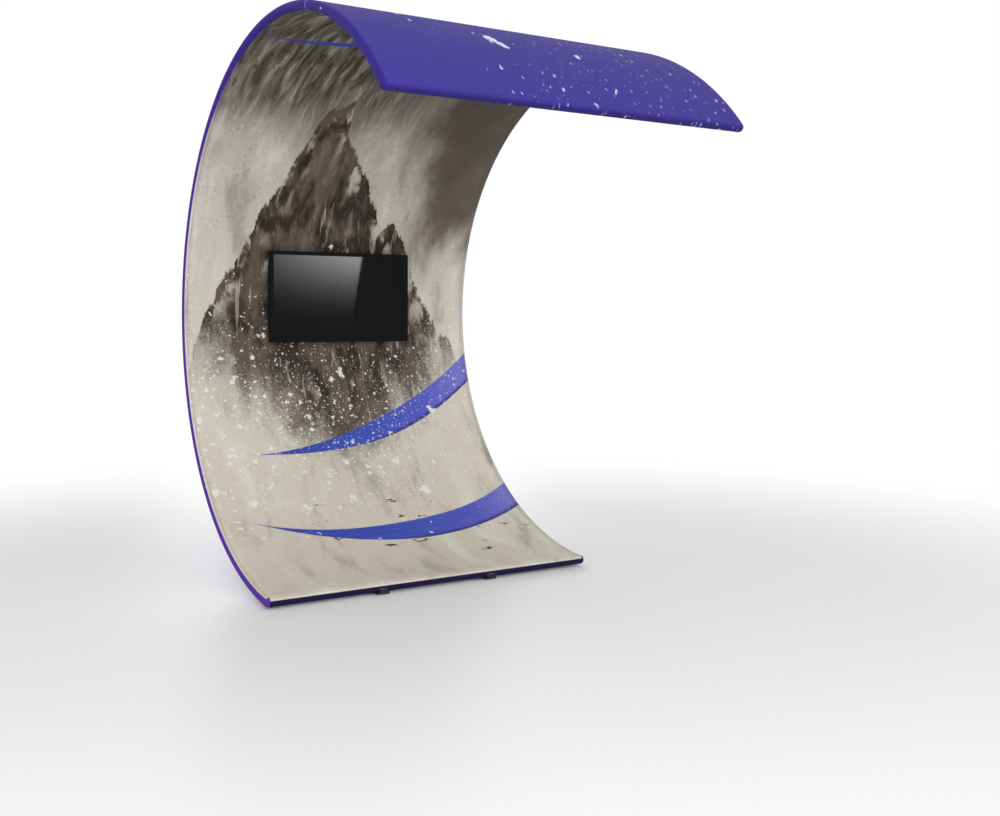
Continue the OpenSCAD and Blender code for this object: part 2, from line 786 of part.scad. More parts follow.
module zip_tape() {
    stop_length = 5;
    color([0.12, 0.10, 0.2]) {
        zip_strip(zip_slot / 2 - RUNNING_GAP, ZIP_HALF - RUNNING_GAP, COVER_IN + 0.1, COVER_OUT - 0.1);
        zip_strip(ZIP_CHAIN, ZIP_HALF - 4, COVER_IN - 0.8, COVER_OUT + ZIP_RISE);
        for (side = SIDES)
            at(zip_heading, side * (ZIP_HALF - 4 - stop_length / 2))
                translate([-stop_length / 2, -ZIP_CHAIN - 1, -COVER_OUT - ZIP_RISE - 0.8])
                    cube([stop_length, 2 * ZIP_CHAIN + 2, ZIP_RISE + 1.2]);
    }
}

// The zip's outer face is down here: the slider's plate lies below the chain and its cheeks beside it
module zip_slider() {
    plate_top = -COVER_OUT - ZIP_RISE - RUNNING_GAP;
    cheek = ZIP_CHAIN + RUNNING_GAP;
    bar_z = plate_top - SLIDER_T - PULL_AXIS;
    post = 1.2;
    post_y = PULL_EYE_R + 0.8;
    color(STEEL_COLOUR)
        at(zip_heading, SLIDER_X) {
            translate([0, 0, plate_top - SLIDER_T])
                linear_extrude(SLIDER_T) rounded(SLIDER_LENGTH, SLIDER_WIDTH, 3);
            for (side = SIDES)
                translate([-SLIDER_LENGTH / 2 + 3, side > 0 ? cheek : -SLIDER_WIDTH / 2, plate_top - 0.5])
                    cube([SLIDER_LENGTH - 6, SLIDER_WIDTH / 2 - cheek, 0.5 + ZIP_RISE + RUNNING_GAP - 0.3]);
            for (side = SIDES)
                translate([-post, side > 0 ? post_y : -post_y - post, bar_z - post])
                    cube([2 * post, post, PULL_AXIS + post + 0.5]);
            translate([0, 0, bar_z])
                rotate([90, 0, 0]) cylinder(r = PULL_BAR_R, h = 2 * post_y + post, center = true);
        }
}

module zip_pull() {
    bar_z = -COVER_OUT - ZIP_RISE - RUNNING_GAP - SLIDER_T - PULL_AXIS;
    eye_width = 2 * PULL_EYE_R;
    tab_t = 1.8;
    color(STEEL_COLOUR)
        at(zip_heading, SLIDER_X)
            translate([0, 0, bar_z])
                difference() {
                    union() {
                        rotate([90, 0, 0]) cylinder(r = PULL_EYE_R, h = eye_width, center = true);
                        rotate([0, 90, 0])
                            linear_extrude(tab_t, center = true) {
                                translate([PULL_EYE_R / 2, -eye_width / 2]) square([9, eye_width]);
                                translate([PULL_LENGTH - 9, 0]) rounded(18, 9, 3);
                            }
                    }
                    rotate([90, 0, 0])
                        cylinder(r = PULL_BAR_R + RUNNING_GAP, h = eye_width + 2, center = true);
                    translate([PULL_LENGTH, 0, 0]) cylinder(r = 1, h = 1);
                }
}

// ---------------------------------------------------------------- screen

// Puts a flat shape upright behind the screen's front, at a depth from that face
module screen_layer(depth, thickness) {
    translate([0, SCREEN_FRONT + depth + thickness, SCREEN_Z])
        rotate([90, 0, 0])
            linear_extrude(thickness) children();
}

module screen_bezel() {
    pocket_w = screen_w - 2 * BEZEL_WALL;
    pocket_h = screen_h - 2 * BEZEL_WALL;
    color(HOUSING_COLOUR) {
        screen_layer(0, BEZEL_LIP)
            difference() {
                rounded(screen_w, screen_h, HOUSING_CORNER);
                square([screen_w - 2 * bezel, screen_h - 2 * bezel], center = true);
            }
        screen_layer(BEZEL_LIP / 2, BEZEL_DEPTH - BEZEL_LIP / 2)
            difference() {
                rounded(screen_w, screen_h, HOUSING_CORNER);
                square([pocket_w, pocket_h], center = true);
            }
    }
}

module screen_glass() {
    color([0.02, 0.02, 0.03])
        screen_layer(BEZEL_LIP + RUNNING_GAP, GLASS_T)
            square([screen_w - 2 * BEZEL_WALL - 1, screen_h - 2 * BEZEL_WALL - 1], center = true);
}

module screen_panel() {
    start = BEZEL_LIP + GLASS_T + 2 * RUNNING_GAP;
    color([0.5, 0.5, 0.52])
        screen_layer(start, BEZEL_DEPTH - start - RUNNING_GAP)
            square([screen_w - 2 * BEZEL_WALL - 1, screen_h - 2 * BEZEL_WALL - 1], center = true);
}

module fixing_places() {
    for (x = SIDES, z = SIDES)
        translate([x * fixing_half, 0, z * fixing_half]) children();
}

// The hollow rear housing: a rim, a bevelled back and a raised box over the electronics
module housing_solid(inset) {
    rim = BEZEL_DEPTH + RUNNING_GAP;
    screen_layer(rim, screen_edge - BEVEL - rim)
        rounded(screen_w - 2 * inset, screen_h - 2 * inset, HOUSING_CORNER - inset);
    hull() {
        screen_layer(screen_edge - BEVEL - 1, 1)
            rounded(screen_w - 2 * inset, screen_h - 2 * inset, HOUSING_CORNER - inset);
        screen_layer(screen_edge - inset - 1, 1)
            rounded(screen_w - 4 * BEVEL - 2 * inset, screen_h - 4 * BEVEL - 2 * inset,
                HOUSING_CORNER - inset);
    }
    hull() {
        screen_layer(screen_edge - BEVEL, 1)
            rounded(BULGE_W + 30 - 2 * inset, BULGE_H + 30 - 2 * inset, 20);
        screen_layer(screen_depth - inset - 1, 1)
            rounded(BULGE_W - 2 * inset, BULGE_H - 2 * inset, 14);
    }
}

module vent_row(z) {
    slot_count = 14;
    pitch = 12;
    for (i = [0:slot_count - 1])
        translate([(i - (slot_count - 1) / 2) * pitch, SCREEN_BACK + 1, z])
            rotate([90, 0, 0]) linear_extrude(HOUSING_WALL + 2) rounded(5, 22, 2.4);
}

module screen_back() {
    boss_depth = 14;
    color(HOUSING_COLOUR)
        difference() {
            union() {
                difference() {
                    housing_solid(0);
                    difference() {
                        housing_solid(HOUSING_WALL);
                        translate([0, SCREEN_BACK - boss_depth, SCREEN_Z])
                            fixing_places() rotate([-90, 0, 0]) cylinder(r = 8, h = boss_depth);
                    }
                    screen_layer(BEZEL_DEPTH, 1)
                        square([screen_w - 2 * HOUSING_WALL, screen_h - 2 * HOUSING_WALL], center = true);
                }
            }
            translate([0, SCREEN_BACK + 1, SCREEN_Z])
                fixing_places() rotate([90, 0, 0]) cylinder(r = SCREW_R + 0.1, h = boss_depth);
            vent_row(SCREEN_Z + BULGE_H / 2 - 28);
            power_button_line(POWER_R + RUNNING_GAP);
        }
}

module power_button_line(r) {
    translate([POWER_X, SCREEN_FRONT + POWER_DEPTH, SCREEN_Z - screen_h / 2 - 1.5])
        cylinder(r = r, h = 6);
}

module power_button() {
    color([0.3, 0.3, 0.32]) {
        power_button_line(POWER_R);
        translate([POWER_X, SCREEN_FRONT + POWER_DEPTH, SCREEN_Z - screen_h / 2 + HOUSING_WALL])
            translate([0, 0, RUNNING_GAP]) cylinder(r = POWER_R + 1.2, h = 1.2);
    }
}

// ---------------------------------------------------------------- bracket

// A split clamp on the mast with a boss that reaches through the fabric to the bracket's plate
module mount_clamps() {
    color(MOULDED_COLOUR)
        for (z = BOSS_HEIGHTS) {
            heading = heading_at(z);
            mast_y = CENTRE_Y + hoop_radius * sin(heading);
            half = arc_angle(CLAMP_LENGTH / 2);
            difference() {
                union() {
                    hoop_tube(heading - half, heading + half, 0, HOOP_R);
                    at(heading, 0) rotate([0, 0, -90]) pinch_lugs();
                    translate([-BOSS / 2, PLATE_BACK, z - BOSS / 2])
                        cube([BOSS, mast_y - PLATE_BACK, BOSS]);
                }
                hoop_tube(heading - 2 * half, heading + 2 * half, 0, BAR_R + CLAMP_CLEARANCE);
                at(heading, 0) rotate([0, 0, -90]) pinch_cut();
                translate([0, PLATE_BACK - 1, z])
                    rotate([-90, 0, 0]) cylinder(r = SCREW_R + 0.1, h = BOSS_THREAD + 2);
            }
        }
}

module mount_plate() {
    color(STEEL_COLOUR) {
        difference() {
            translate([0, PLATE_BACK, SCREEN_Z])
                rotate([90, 0, 0])
                    linear_extrude(PLATE_T)
                        difference() {
                            rounded(PLATE_W, PLATE_H, 8);
                            rounded(140, 80, 8);
                        }
            boss_places()
                translate([0, PLATE_BACK + 1, 0])
                    rotate([90, 0, 0]) cylinder(r = SCREW_HOLE_R, h = PLATE_T + 2);
        }
        for (side = SIDES)
            translate([side * EAR_X - (side < 0 ? EAR_T : 0), 0, SCREEN_Z])
                rotate([90, 0, 90])
                    linear_extrude(EAR_T)
                        difference() {
                            union() {
                                translate([PIVOT_Y, 0]) circle(EAR_LOBE_R);
                                polygon([
                                    [PLATE_BACK - 1, -22], [PLATE_BACK - 1, 22],
                                    [PIVOT_Y, EAR_LOBE_R], [PIVOT_Y, -EAR_LOBE_R]
                                ]);
                            }
                            translate([PIVOT_Y, 0]) circle(PIVOT_R + PIVOT_CLEARANCE);
                        }
    }
}

// The plate's screws and the pinch bolts of the clamps behind it
module mount_screws() {
    color(STEEL_COLOUR)
        boss_places()
            translate([0, PLATE_FRONT, 0]) rotate([-90, 0, 0]) screw(PLATE_T + BOSS_THREAD, 6, 3.5);
    for (z = BOSS_HEIGHTS)
        at(heading_at(z), 0) rotate([0, 0, -90]) pinch_bolt();
}

// A channel on each side of the screen's back, with cheeks that turn on the pivot
module mount_arms() {
    arm_half = fixing_half + 18;
    color(STEEL_COLOUR)
        for (side = SIDES)
            translate([side * fixing_half, 0, SCREEN_Z])
                difference() {
                    union() {
                        translate([-ARM_WIDTH / 2, ARM_BACK - ARM_T, -arm_half])
                            cube([ARM_WIDTH, ARM_T, 2 * arm_half]);
                        for (x = [-ARM_WIDTH / 2, ARM_WIDTH / 2 - ARM_T])
                            translate([x, 0, 0])
                                rotate([90, 0, 90])
                                    linear_extrude(ARM_T) {
                                        translate([ARM_BACK - ARM_T, -arm_half])
                                            square([ARM_DEPTH, 2 * arm_half]);
                                        translate([PIVOT_Y, 0]) circle(ARM_LOBE_R);
                                        translate([ARM_BACK - ARM_T, -ARM_LOBE_R])
                                            square([PIVOT_Y - ARM_BACK + ARM_T, 2 * ARM_LOBE_R]);
                                    }
                    }
                    translate([0, PIVOT_Y, 0])
                        sideways(1)
                            cylinder(r = PIVOT_R + PIVOT_CLEARANCE, h = ARM_WIDTH + 2, center = true);
                    for (z = SIDES)
                        translate([0, ARM_BACK + 1, z * fixing_half])
                            rotate([90, 0, 0]) cylinder(r = SCREW_HOLE_R, h = ARM_T + 2);
                }
}

// The pivot bolt of each arm, with its friction washer and nut
module tilt_pins() {
    head_h = 4;
    inner = fixing_half - ARM_WIDTH / 2 - RUNNING_GAP;
    outer = EAR_X + EAR_T + 0.1;
    color(STEEL_COLOUR)
        for (side = SIDES)
            translate([0, PIVOT_Y, SCREEN_Z])
                sideways(side) {
                    translate([0, 0, outer]) cylinder(r = 7, h = head_h);
                    translate([0, 0, inner - NUT_H - 2]) cylinder(r = PIVOT_R, h = outer - inner + NUT_H + 3);
                    translate([0, 0, inner - NUT_H]) nut(7.5, NUT_H, PIVOT_R);
                    translate([0, 0, fixing_half + ARM_WIDTH / 2 + RUNNING_GAP])
                        difference() {
                            cylinder(r = 8, h = EAR_X - fixing_half - ARM_WIDTH / 2 - RUNNING_GAP - 0.1);
                            translate([0, 0, -1]) cylinder(r = PIVOT_R + 0.1, h = 5);
                        }
                }
}

module screen_screws() {
    color(STEEL_COLOUR)
        translate([0, ARM_BACK, SCREEN_Z])
            fixing_places() rotate([90, 0, 0]) screw(ARM_T + 10, 5.5, 3.5);
}

// ---------------------------------------------------------------- drawing

hoop_section(-1, 1);  // left_hoop_1
hoop_section(-1, 2);  // left_hoop_2
hoop_section(-1, 3);  // left_hoop_3
hoop_section(-1, 4);  // left_hoop_4
hoop_section(1, 1);  // right_hoop_1
hoop_section(1, 2);  // right_hoop_2
hoop_section(1, 3);  // right_hoop_3
hoop_section(1, 4);  // right_hoop_4
base_bar(-1);  // base_bar_left
base_bar(1);  // base_bar_right
crossbar(0, -1);  // rear_low_bar_left
crossbar(0, 1);  // rear_low_bar_right
crossbar(1, -1);  // rear_high_bar_left
crossbar(1, 1);  // rear_high_bar_right
crossbar(2, -1);  // crown_bar_left
crossbar(2, 1);  // crown_bar_right
lip_bar(-1);  // lip_bar_left
lip_bar(1);  // lip_bar_right
corner_elbows();
tee_fittings();
frame_screws();
centre_mast();
mast_clamps();
hoop_button(-1, 1);  // left_button_1
hoop_button(-1, 2);  // left_button_2
hoop_button(-1, 3);  // left_button_3
hoop_button(1, 1);  // right_button_1
hoop_button(1, 2);  // right_button_2
hoop_button(1, 3);  // right_button_3
bar_button(start_heading, 1, HOOP_R, hoop_wall);  // base_button
bar_button(LOW_HEADING, 1, BAR_R, bar_wall);  // rear_low_button
bar_button(HIGH_HEADING, 1, BAR_R, bar_wall);  // rear_high_button
bar_button(CROWN_HEADING, 1, BAR_R, bar_wall);  // crown_button
bar_button(END_HEADING, -1, HOOP_R, hoop_wall);  // lip_button
snap_springs();
leg(-1);  // leg_left
leg(1);  // leg_right
leg_clamps();
leg_grommets();
foot_plate(-1);  // foot_plate_left
foot_plate(1);  // foot_plate_right
foot_pads();
foot_saddles();
foot_bolts();
front_graphic();
rear_cover();
zip_tape();
zip_slider();
zip_pull();
screen_bezel();
screen_glass();
screen_panel();
screen_back();
power_button();
mount_clamps();
mount_plate();
mount_screws();
mount_arms();
tilt_pins();
screen_screws();
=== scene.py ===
# %% [markdown]
# # A curved display wall in stretched fabric
# The wall is a frame of bent tubes inside a fabric cover, like a pillowcase pulled over a ladder.
# The frame, the screen, its bracket, the feet and the zip slider arrive as finished solids. What is
# left to make is what a solid can't say: the two sheets of cloth with their hems and stitches, the
# zip's woven tape and coil, and the finish of every surface.

# %% Load the frame
import json
import math
from functools import partial

import bmesh
import bpy
from mathutils import Matrix, Vector


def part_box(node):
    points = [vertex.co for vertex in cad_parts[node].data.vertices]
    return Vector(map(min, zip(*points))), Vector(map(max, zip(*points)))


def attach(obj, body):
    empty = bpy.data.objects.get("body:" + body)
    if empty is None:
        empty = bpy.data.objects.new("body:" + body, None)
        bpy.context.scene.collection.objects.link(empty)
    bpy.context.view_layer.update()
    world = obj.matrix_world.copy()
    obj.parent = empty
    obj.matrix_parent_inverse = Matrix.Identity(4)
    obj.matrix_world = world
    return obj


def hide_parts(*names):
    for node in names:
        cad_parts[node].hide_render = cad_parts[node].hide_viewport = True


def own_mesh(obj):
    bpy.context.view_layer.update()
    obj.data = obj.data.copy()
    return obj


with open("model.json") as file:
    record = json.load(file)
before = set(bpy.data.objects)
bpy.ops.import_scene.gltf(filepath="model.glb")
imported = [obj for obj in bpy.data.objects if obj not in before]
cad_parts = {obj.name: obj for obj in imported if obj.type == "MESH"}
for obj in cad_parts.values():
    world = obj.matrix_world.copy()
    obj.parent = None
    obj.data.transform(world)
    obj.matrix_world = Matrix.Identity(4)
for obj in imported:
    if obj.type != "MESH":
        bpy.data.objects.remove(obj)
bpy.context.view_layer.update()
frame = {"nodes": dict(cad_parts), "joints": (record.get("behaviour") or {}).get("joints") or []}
nodes = frame["nodes"]

# %% [markdown]
# ## Places on the curve
# The wall's side view is one circular arc. A place on it needs three numbers: its heading along the
# arc, its distance from the hoops' centre line, and how far across the wall it is. Heading 0 lies
# on the floor, 90 is the upright back and 180 the crown. The circle's centre is read from the
# cover's box, so it follows the frame.

# %% The arc, in metres and degrees
RADIUS = 1.148  # of the hoops' centre line
START, END = 4.0, 232.0  # headings of the base bar and the lip bar
HALF = 0.766  # from the wall's middle to a hoop's centre line
COVER = 0.0189  # from a tube's centre line to the cloth round it
SKIN = 0.0005  # from the cloth to the outer face of the solid that it replaces
CLEAR = 0.0004  # between pieces of cloth that must not touch
X_AXIS, Y_AXIS, Z_AXIS = (Vector(row) for row in Matrix.Identity(3))

_, cover_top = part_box("rear_cover")
CENTRE = Vector((0, cover_top.y - RADIUS - COVER - SKIN, cover_top.z - RADIUS - COVER - SKIN))


def place(heading, inward, across):
    """The point at a heading, at a distance towards the centre, and across the wall."""
    turn = math.radians(heading)
    reach = RADIUS - inward
    return CENTRE + Vector((across, math.sin(turn) * reach, -math.cos(turn) * reach))


def along(heading):
    """The direction in which the heading grows."""
    turn = math.radians(heading)
    return Vector((0, math.cos(turn), math.sin(turn)))


def towards_centre(heading):
    return along(heading + 90)


print("circle centre", [round(x, 4) for x in CENTRE])

# %% [markdown]
# ## Camera and room
# The camera stands in front of the wall's left side at chest height and looks level. The lens shift
# keeps the uprights parallel, as an architect's camera does. The room is a pale floor, an even sky
# and three large soft lamps, so a colour renders about as it is written. A card that only
# reflections can see gives the screen's glass the slanted sheen of a window.

# %% Camera
scene = bpy.context.scene
scene.view_settings.view_transform = "Standard"

camera = bpy.data.objects.new("camera", bpy.data.cameras.new("camera"))
scene.collection.objects.link(camera)
camera.location = (-2.347, -4.043, 1.143)
camera.rotation_euler = (math.radians(90), 0, math.radians(-29.9))
camera.data.lens = 39.0
camera.data.shift_x, camera.data.shift_y = 0.0724, -0.0892
scene.camera = camera
print("camera", camera.data.lens, "mm")


# %% Nodes
def source(tree, kind, **settings):
    """Adds a shader node that nothing feeds yet."""
    made = tree.nodes.new("ShaderNode" + kind)
    for name, value in settings.items():
        setattr(made, name, value)
    return made


def feed(made, inputs):
    """Gives a node its inputs. Each is a value to set, or another node's output to link."""
    for name, value in inputs.items():
        if isinstance(value, bpy.types.NodeSocket):
            made.id_data.links.new(value, made.inputs[name])
        else:
            made.inputs[name].default_value = value


def node(kind, inputs, **settings):
    """Adds a shader node to the tree of the outputs that feed it."""
    tree = next(v.id_data for v in inputs.values() if isinstance(v, bpy.types.NodeSocket))
    made = source(tree, kind, **settings)
    feed(made, inputs)
    return made


# %% Sums and steps
def calc(operation, *values, clamp=False):
    return node("Math", dict(enumerate(values)), operation=operation, use_clamp=clamp).outputs[0]


times, plus, minus, absolute, above = (partial(calc, operation) for operation in (
    "MULTIPLY", "ADD", "SUBTRACT", "ABSOLUTE", "GREATER_THAN"))


def scaled(value, factor, added, clamp=False):
    """A value times a factor, with another added to it."""
    return calc("MULTIPLY_ADD", value, factor, added, clamp=clamp)


def vector_calc(operation, *values):
    return node("VectorMath", dict(enumerate(values)), operation=operation).outputs


def split(vector):
    return node("SeparateXYZ", {0: vector}).outputs


def step(value, low, high):
    """0 below low and 1 above high, or the other way round, with a soft edge between."""
    ranged = node("MapRange", {"Value": value, "From Min": low, "From Max": high},
                  interpolation_type="SMOOTHSTEP")
    return ranged.outputs["Result"]


# %% Patterns, colours and materials
def noise(vector, scale, detail=3.0, roughness=0.55, distortion=0.0):
    return node("TexNoise", {"Vector": vector, "Scale": scale, "Detail": detail,
                             "Roughness": roughness, "Distortion": distortion}).outputs["Fac"]


def srgb(red, green, blue):
    """A colour as a screen shows it, 0 to 255, as the linear colour that a shader wants."""
    linear = [c / 12.92 if c <= 0.04045 else ((c + 0.055) / 1.055) ** 2.4
              for c in (red / 255, green / 255, blue / 255)]
    return (*linear, 1.0)


def ramp(value, *stops):
    """A run of colours, each after the value at which it stands."""
    made = node("ValToRGB", {"Fac": value})
    elements = made.color_ramp.elements
    while len(elements) < len(stops):
        elements.new(0.5)
    for element, (position, *colour) in zip(elements, stops):
        element.position, element.color = position, srgb(*colour)
    return made.outputs["Color"]


def material(name, **sockets):
    """A new material and its tree and shader, with plain values set on the shader's own sockets."""
    made = bpy.data.materials.new(name)
    made.use_nodes = True
    shader = made.node_tree.nodes["Principled BSDF"]
    feed(shader, {socket.replace("_", " ").title().replace("Ior", "IOR"): value
                  for socket, value in sockets.items()})
    return made, made.node_tree, shader


def in_metres(tree):
    """Where a point lies in its piece, which is where it lies in the frame."""
    return source(tree, "TexCoord").outputs["Object"]


# %% Flat pieces of the room
def as_object(bm, name):
    """Puts a bmesh in the scene as an object, and frees it."""
    made = bpy.data.objects.new(name, bpy.data.meshes.new(name))
    bm.to_mesh(made.data)
    bm.free()
    scene.collection.objects.link(made)
    return made


def stage_piece(name, corners, finish):
    bm = bmesh.new()
    bm.faces.new([bm.verts.new(corner) for corner in corners])
    made = as_object(bm, name)
    made.data.materials.append(finish)
    return made


# %% Floor and air
# Round the wall the floor is pale and takes its shadow. Further off it fades into the white room
pale, tree, shader = material("pale_floor", roughness=0.5)
spot = in_metres(tree)
feed(shader, {"Base Color": ramp(noise(spot, 90.0), (0.3, 233, 233, 232), (0.7, 238, 238, 237))})
distant = times(step(vector_calc("LENGTH", spot)["Value"], 1.7, 4.6),
                source(tree, "LightPath").outputs["Is Camera Ray"])
white = source(tree, "Emission").outputs[0]
faded = node("MixShader", {0: distant, 1: shader.outputs[0], 2: white})
feed(tree.nodes["Material Output"], {"Surface": faded.outputs[0]})
stage_piece("floor", [(-14, -9, 0), (16, -9, 0), (16, 21, 0), (-14, 21, 0)], pale)

world = bpy.data.worlds.new("room")
scene.world = world
world.use_nodes = True
ray = source(world.node_tree, "LightPath").outputs
seen = calc("MAXIMUM", calc("MAXIMUM", ray["Is Camera Ray"], ray["Is Glossy Ray"]),
            ray["Is Transmission Ray"])
feed(world.node_tree.nodes["Background"],
     {"Color": (1, 1, 1, 1), "Strength": scaled(seen, 0.35, 0.65)})

# %% Lamps
for name, location, target, size, power in (
        ("key_lamp", (-2.9, -5.2, 2.2), (0, 0.6, 1.3), 3.0, 190),
        ("fill_lamp", (1.6, -4.6, 4.6), (0, 0.2, 0.6), 3.0, 45),
        ("back_lamp", (2.6, 6.4, 2.0), (0, 0.9, 1.0), 4.0, 110)):
    light = bpy.data.lights.new(name, "AREA")
    light.shape, light.size, light.energy = "DISK", size, power
    lamp = bpy.data.objects.new(name, light)
    lamp.location = location
    lamp.rotation_euler = (Vector(target) - Vector(location)).to_track_quat("-Z", "Y").to_euler()
    scene.collection.objects.link(lamp)

print("lamps", [made.name for made in bpy.data.lights])

# %% Cards that show only in reflections
# The pale card's sheen is brightest along its upper edge. The dark card stands for the hall
sheen, tree, shader = material("window_card")
tree.nodes.remove(shader)
x, _, z = split(in_metres(tree))
fade = times(calc("POWER", step(z, 0.88, 1.90), 2.7), step(x, 0.65, 2.3))
glow = node("Emission", {"Strength": scaled(fade, 6.8, 0.055)})
feed(tree.nodes["Material Output"], {"Surface": glow.outputs[0]})
dark, _, _ = material("hall_card", base_color=srgb(62, 64, 63), roughness=1.0)
for name, y, outline, finish in (
        ("window_card", -3, [(0.9, 1.9), (2.09, 1.9), (1.93, 0.9), (0.9, 0.9)], sheen),
        ("hall_card", -3.02, [(0.7, 2.1), (3.4, 2.1), (3.4, 0.7), (0.7, 0.7)], dark)):
    card = stage_piece(name, [(x, y, z) for x, z in outline], finish)
    for rays in ("camera", "diffuse", "shadow", "transmission"):
        setattr(card, "visible_" + rays, False)

# %% [markdown]
# ## Cutting holes in a swept sheet
# Each sheet of cloth is a line swept along the arc with the spin operator. Its notches, windows and
# round holes could be booleans, but a boolean wants closed solids. Slicing the open sheet with the
# planes of the hole's sides and deleting what lies inside them keeps clean edges, and those edges
# then carry the hem.

# %% Sweeps
COLUMNS, ARC_STEPS, ROUND_STEPS = 48, 228, 16


def cross_line(bm, heading, inward, half):
    """A line across the wall, cut into columns."""
    ends = [bm.verts.new(place(heading, inward, x)) for x in (-half, half)]
    bmesh.ops.subdivide_edges(bm, edges=[bm.edges.new(ends)], cuts=COLUMNS - 1)


def swept(bm, geometry, centre, axis, angle, steps):
    """Sweeps loose edges about an axis and returns what stands at the far end."""
    return bmesh.ops.spin(bm, geom=geometry, cent=centre, axis=axis, dvec=(0, 0, 0), angle=angle,
                          steps=steps, use_duplicate=False)["geom_last"]


# %% Holes
def open_hole(bm, planes, near):
    """Cuts along planes, each a point and an outward normal, and removes what all of them enclose.
    Only the faces that near picks are cut."""
    faces = [f for f in bm.faces if near(f.calc_center_median())]
    for point, normal in planes:
        edges = {e for f in faces for e in f.edges}
        verts = {v for f in faces for v in f.verts}
        cut = bmesh.ops.bisect_plane(bm, geom=[*verts, *edges, *faces], dist=1e-6,
                                     plane_co=point, plane_no=normal)
        faces = [g for g in cut["geom"] if isinstance(g, bmesh.types.BMFace)]
    inside = [f for f in faces
              if all((f.calc_center_median() - p).dot(n) < 0 for p, n in planes)]
    bmesh.ops.delete(bm, geom=inside, context="FACES")


def box_planes(low, high):
    """The planes of a box's sides, with their outward normals. None leaves a side open."""
    return [(corner[i] * axis, sign * axis) for i, axis in enumerate((X_AXIS, Y_AXIS, Z_AXIS))
            for corner, sign in ((low, -1), (high, 1)) if corner[i] is not None]


def open_edges(bm, wanted):
    """The ends of each open edge whose first end stands in a wanted place."""
    return [[tuple(round(c, 6) for c in v.co) for v in e.verts] for e in bm.edges
            if e.is_boundary and wanted(e.verts[0].co)]


# %% Unrolling
def length_of(heading):
    """The length of the hoops' centre line up to a heading."""
    return RADIUS * math.radians(heading)


def locate(point):
    """A point's heading, its distance inwards and its distance across."""
    offset = point - CENTRE
    heading = math.degrees(math.atan2(offset.y, -offset.z)) % 360
    if heading > 300:
        heading -= 360
    return heading, RADIUS - math.hypot(offset.y, offset.z), offset.x


def unroll(point, middle):
    """Where a point of the cover lay on the flat cloth, in metres: across, and along the arc. The
    middle of its face settles which side of a seam it is on."""
    middle_heading, _, middle_across = locate(middle)
    heading, inward, across = locate(point)
    side = 1 if middle_across > 0 else -1
    if START <= middle_heading <= END:
        if abs(middle_across) > HALF:
            turned = math.atan2(max(abs(across) - HALF, 0), -inward)
            across = side * (HALF + COVER * turned)
        return across, length_of(heading)
    past_base = middle_heading < START or middle_heading > END + 60
    edge, onward = (START, -1) if past_base else (END, 1)
    offset = point - place(edge, 0, 0)
    forward, depth = offset.dot(along(edge)) * onward, offset.dot(towards_centre(edge))
    turned = math.atan2(max(forward, 0), -depth)
    if abs(middle_across) > HALF:
        lean = math.asin(min(1, max(0, abs(across) - HALF) / COVER))
        across = side * (HALF + COVER * lean)
    return across, length_of(edge) + onward * COVER * turned


# %% Finishing a sheet
def thicken(made, thickness):
    wall = made.modifiers.new("thickness", "SOLIDIFY")
    wall.thickness, wall.offset = thickness, 0.0


def finish_sheet(bm, name, start, outward, thickness):
    """Lays the cloth's UV map, turns its faces the way that the one at the start must look, and
    gives it a thickness."""
    bmesh.ops.recalc_face_normals(bm, faces=bm.faces[:])
    probe = min(bm.faces, key=lambda f: (f.calc_center_median() - start).length)
    if probe.normal.dot(outward) < 0:
        bmesh.ops.reverse_faces(bm, faces=bm.faces[:])
    cloth = bm.loops.layers.uv.new("cloth")
    for face in bm.faces:
        face.smooth = True
        middle = face.calc_center_median()
        for loop in face.loops:
            loop[cloth].uv = unroll(loop.vert.co, middle)
    area = sum(face.calc_area() for face in bm.faces)
    made = as_object(bm, name)
    thicken(made, thickness)
    return made, area


# %% [markdown]
# ## The printed sheet
# The inside of the curve is one piece of smooth knit, printed edge to edge and sewn to the plain
# cover all round. Stretched between two hoops it can bend only one way, so a straight line swept
# along the arc is its true shape. Two small windows let the bracket's bosses through behind the
# screen.


# %% The printed sheet
def degrees_of(length):
    """The turn that a length makes along the hoops' centre line."""
    return math.degrees(length / RADIUS)


def middle_of(name):
    """The middle of a solid's box."""
    low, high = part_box(name)
    return (low + high) / 2


PRINT_HALF = HALF - CLEAR
HEM_TURN = degrees_of(0.0009)
BOSS_OFFSET, BOSS_HALF = 0.06, 0.015  # of a window's middle from the screen's, and of its side

bm = bmesh.new()
cross_line(bm, START + HEM_TURN, COVER, PRINT_HALF)
swept(bm, bm.verts[:] + bm.edges[:], CENTRE, X_AXIS, math.radians(END - START - 2 * HEM_TURN),
      ARC_STEPS)

SCREEN_Z = middle_of("screen_glass").z


def at_back(point, z, across, up):
    """Whether a point of the upright back is within reach of the middle at height z."""
    return point.y > 0.8 and abs(point.x) < across and abs(point.z - z) < up


for z in (SCREEN_Z - BOSS_OFFSET, SCREEN_Z + BOSS_OFFSET):
    planes = box_planes((-BOSS_HALF, None, z - BOSS_HALF), (BOSS_HALF, None, z + BOSS_HALF))
    open_hole(bm, planes, lambda p: at_back(p, z, 0.05, 0.05))

window_edges = open_edges(bm, lambda p: at_back(p, SCREEN_Z, 0.1, 0.2))
printed, print_area = finish_sheet(bm, "printed_sheet", place(90, COVER, 0), -Y_AXIS, 0.0008)
print("printed sheet", round(print_area, 3), "square metres")

# %% [markdown]
# ## The plain cover
# The rest of the cover is one violet piece: a back sheet, a round band over each hoop, and a round
# end over the base bar and the lip bar. Its section across the wall is a straight line with a half
# circle at each side, swept along the arc. Each end is the outer half of that section, turned half
# way round its bar, which also makes the small ball corners.

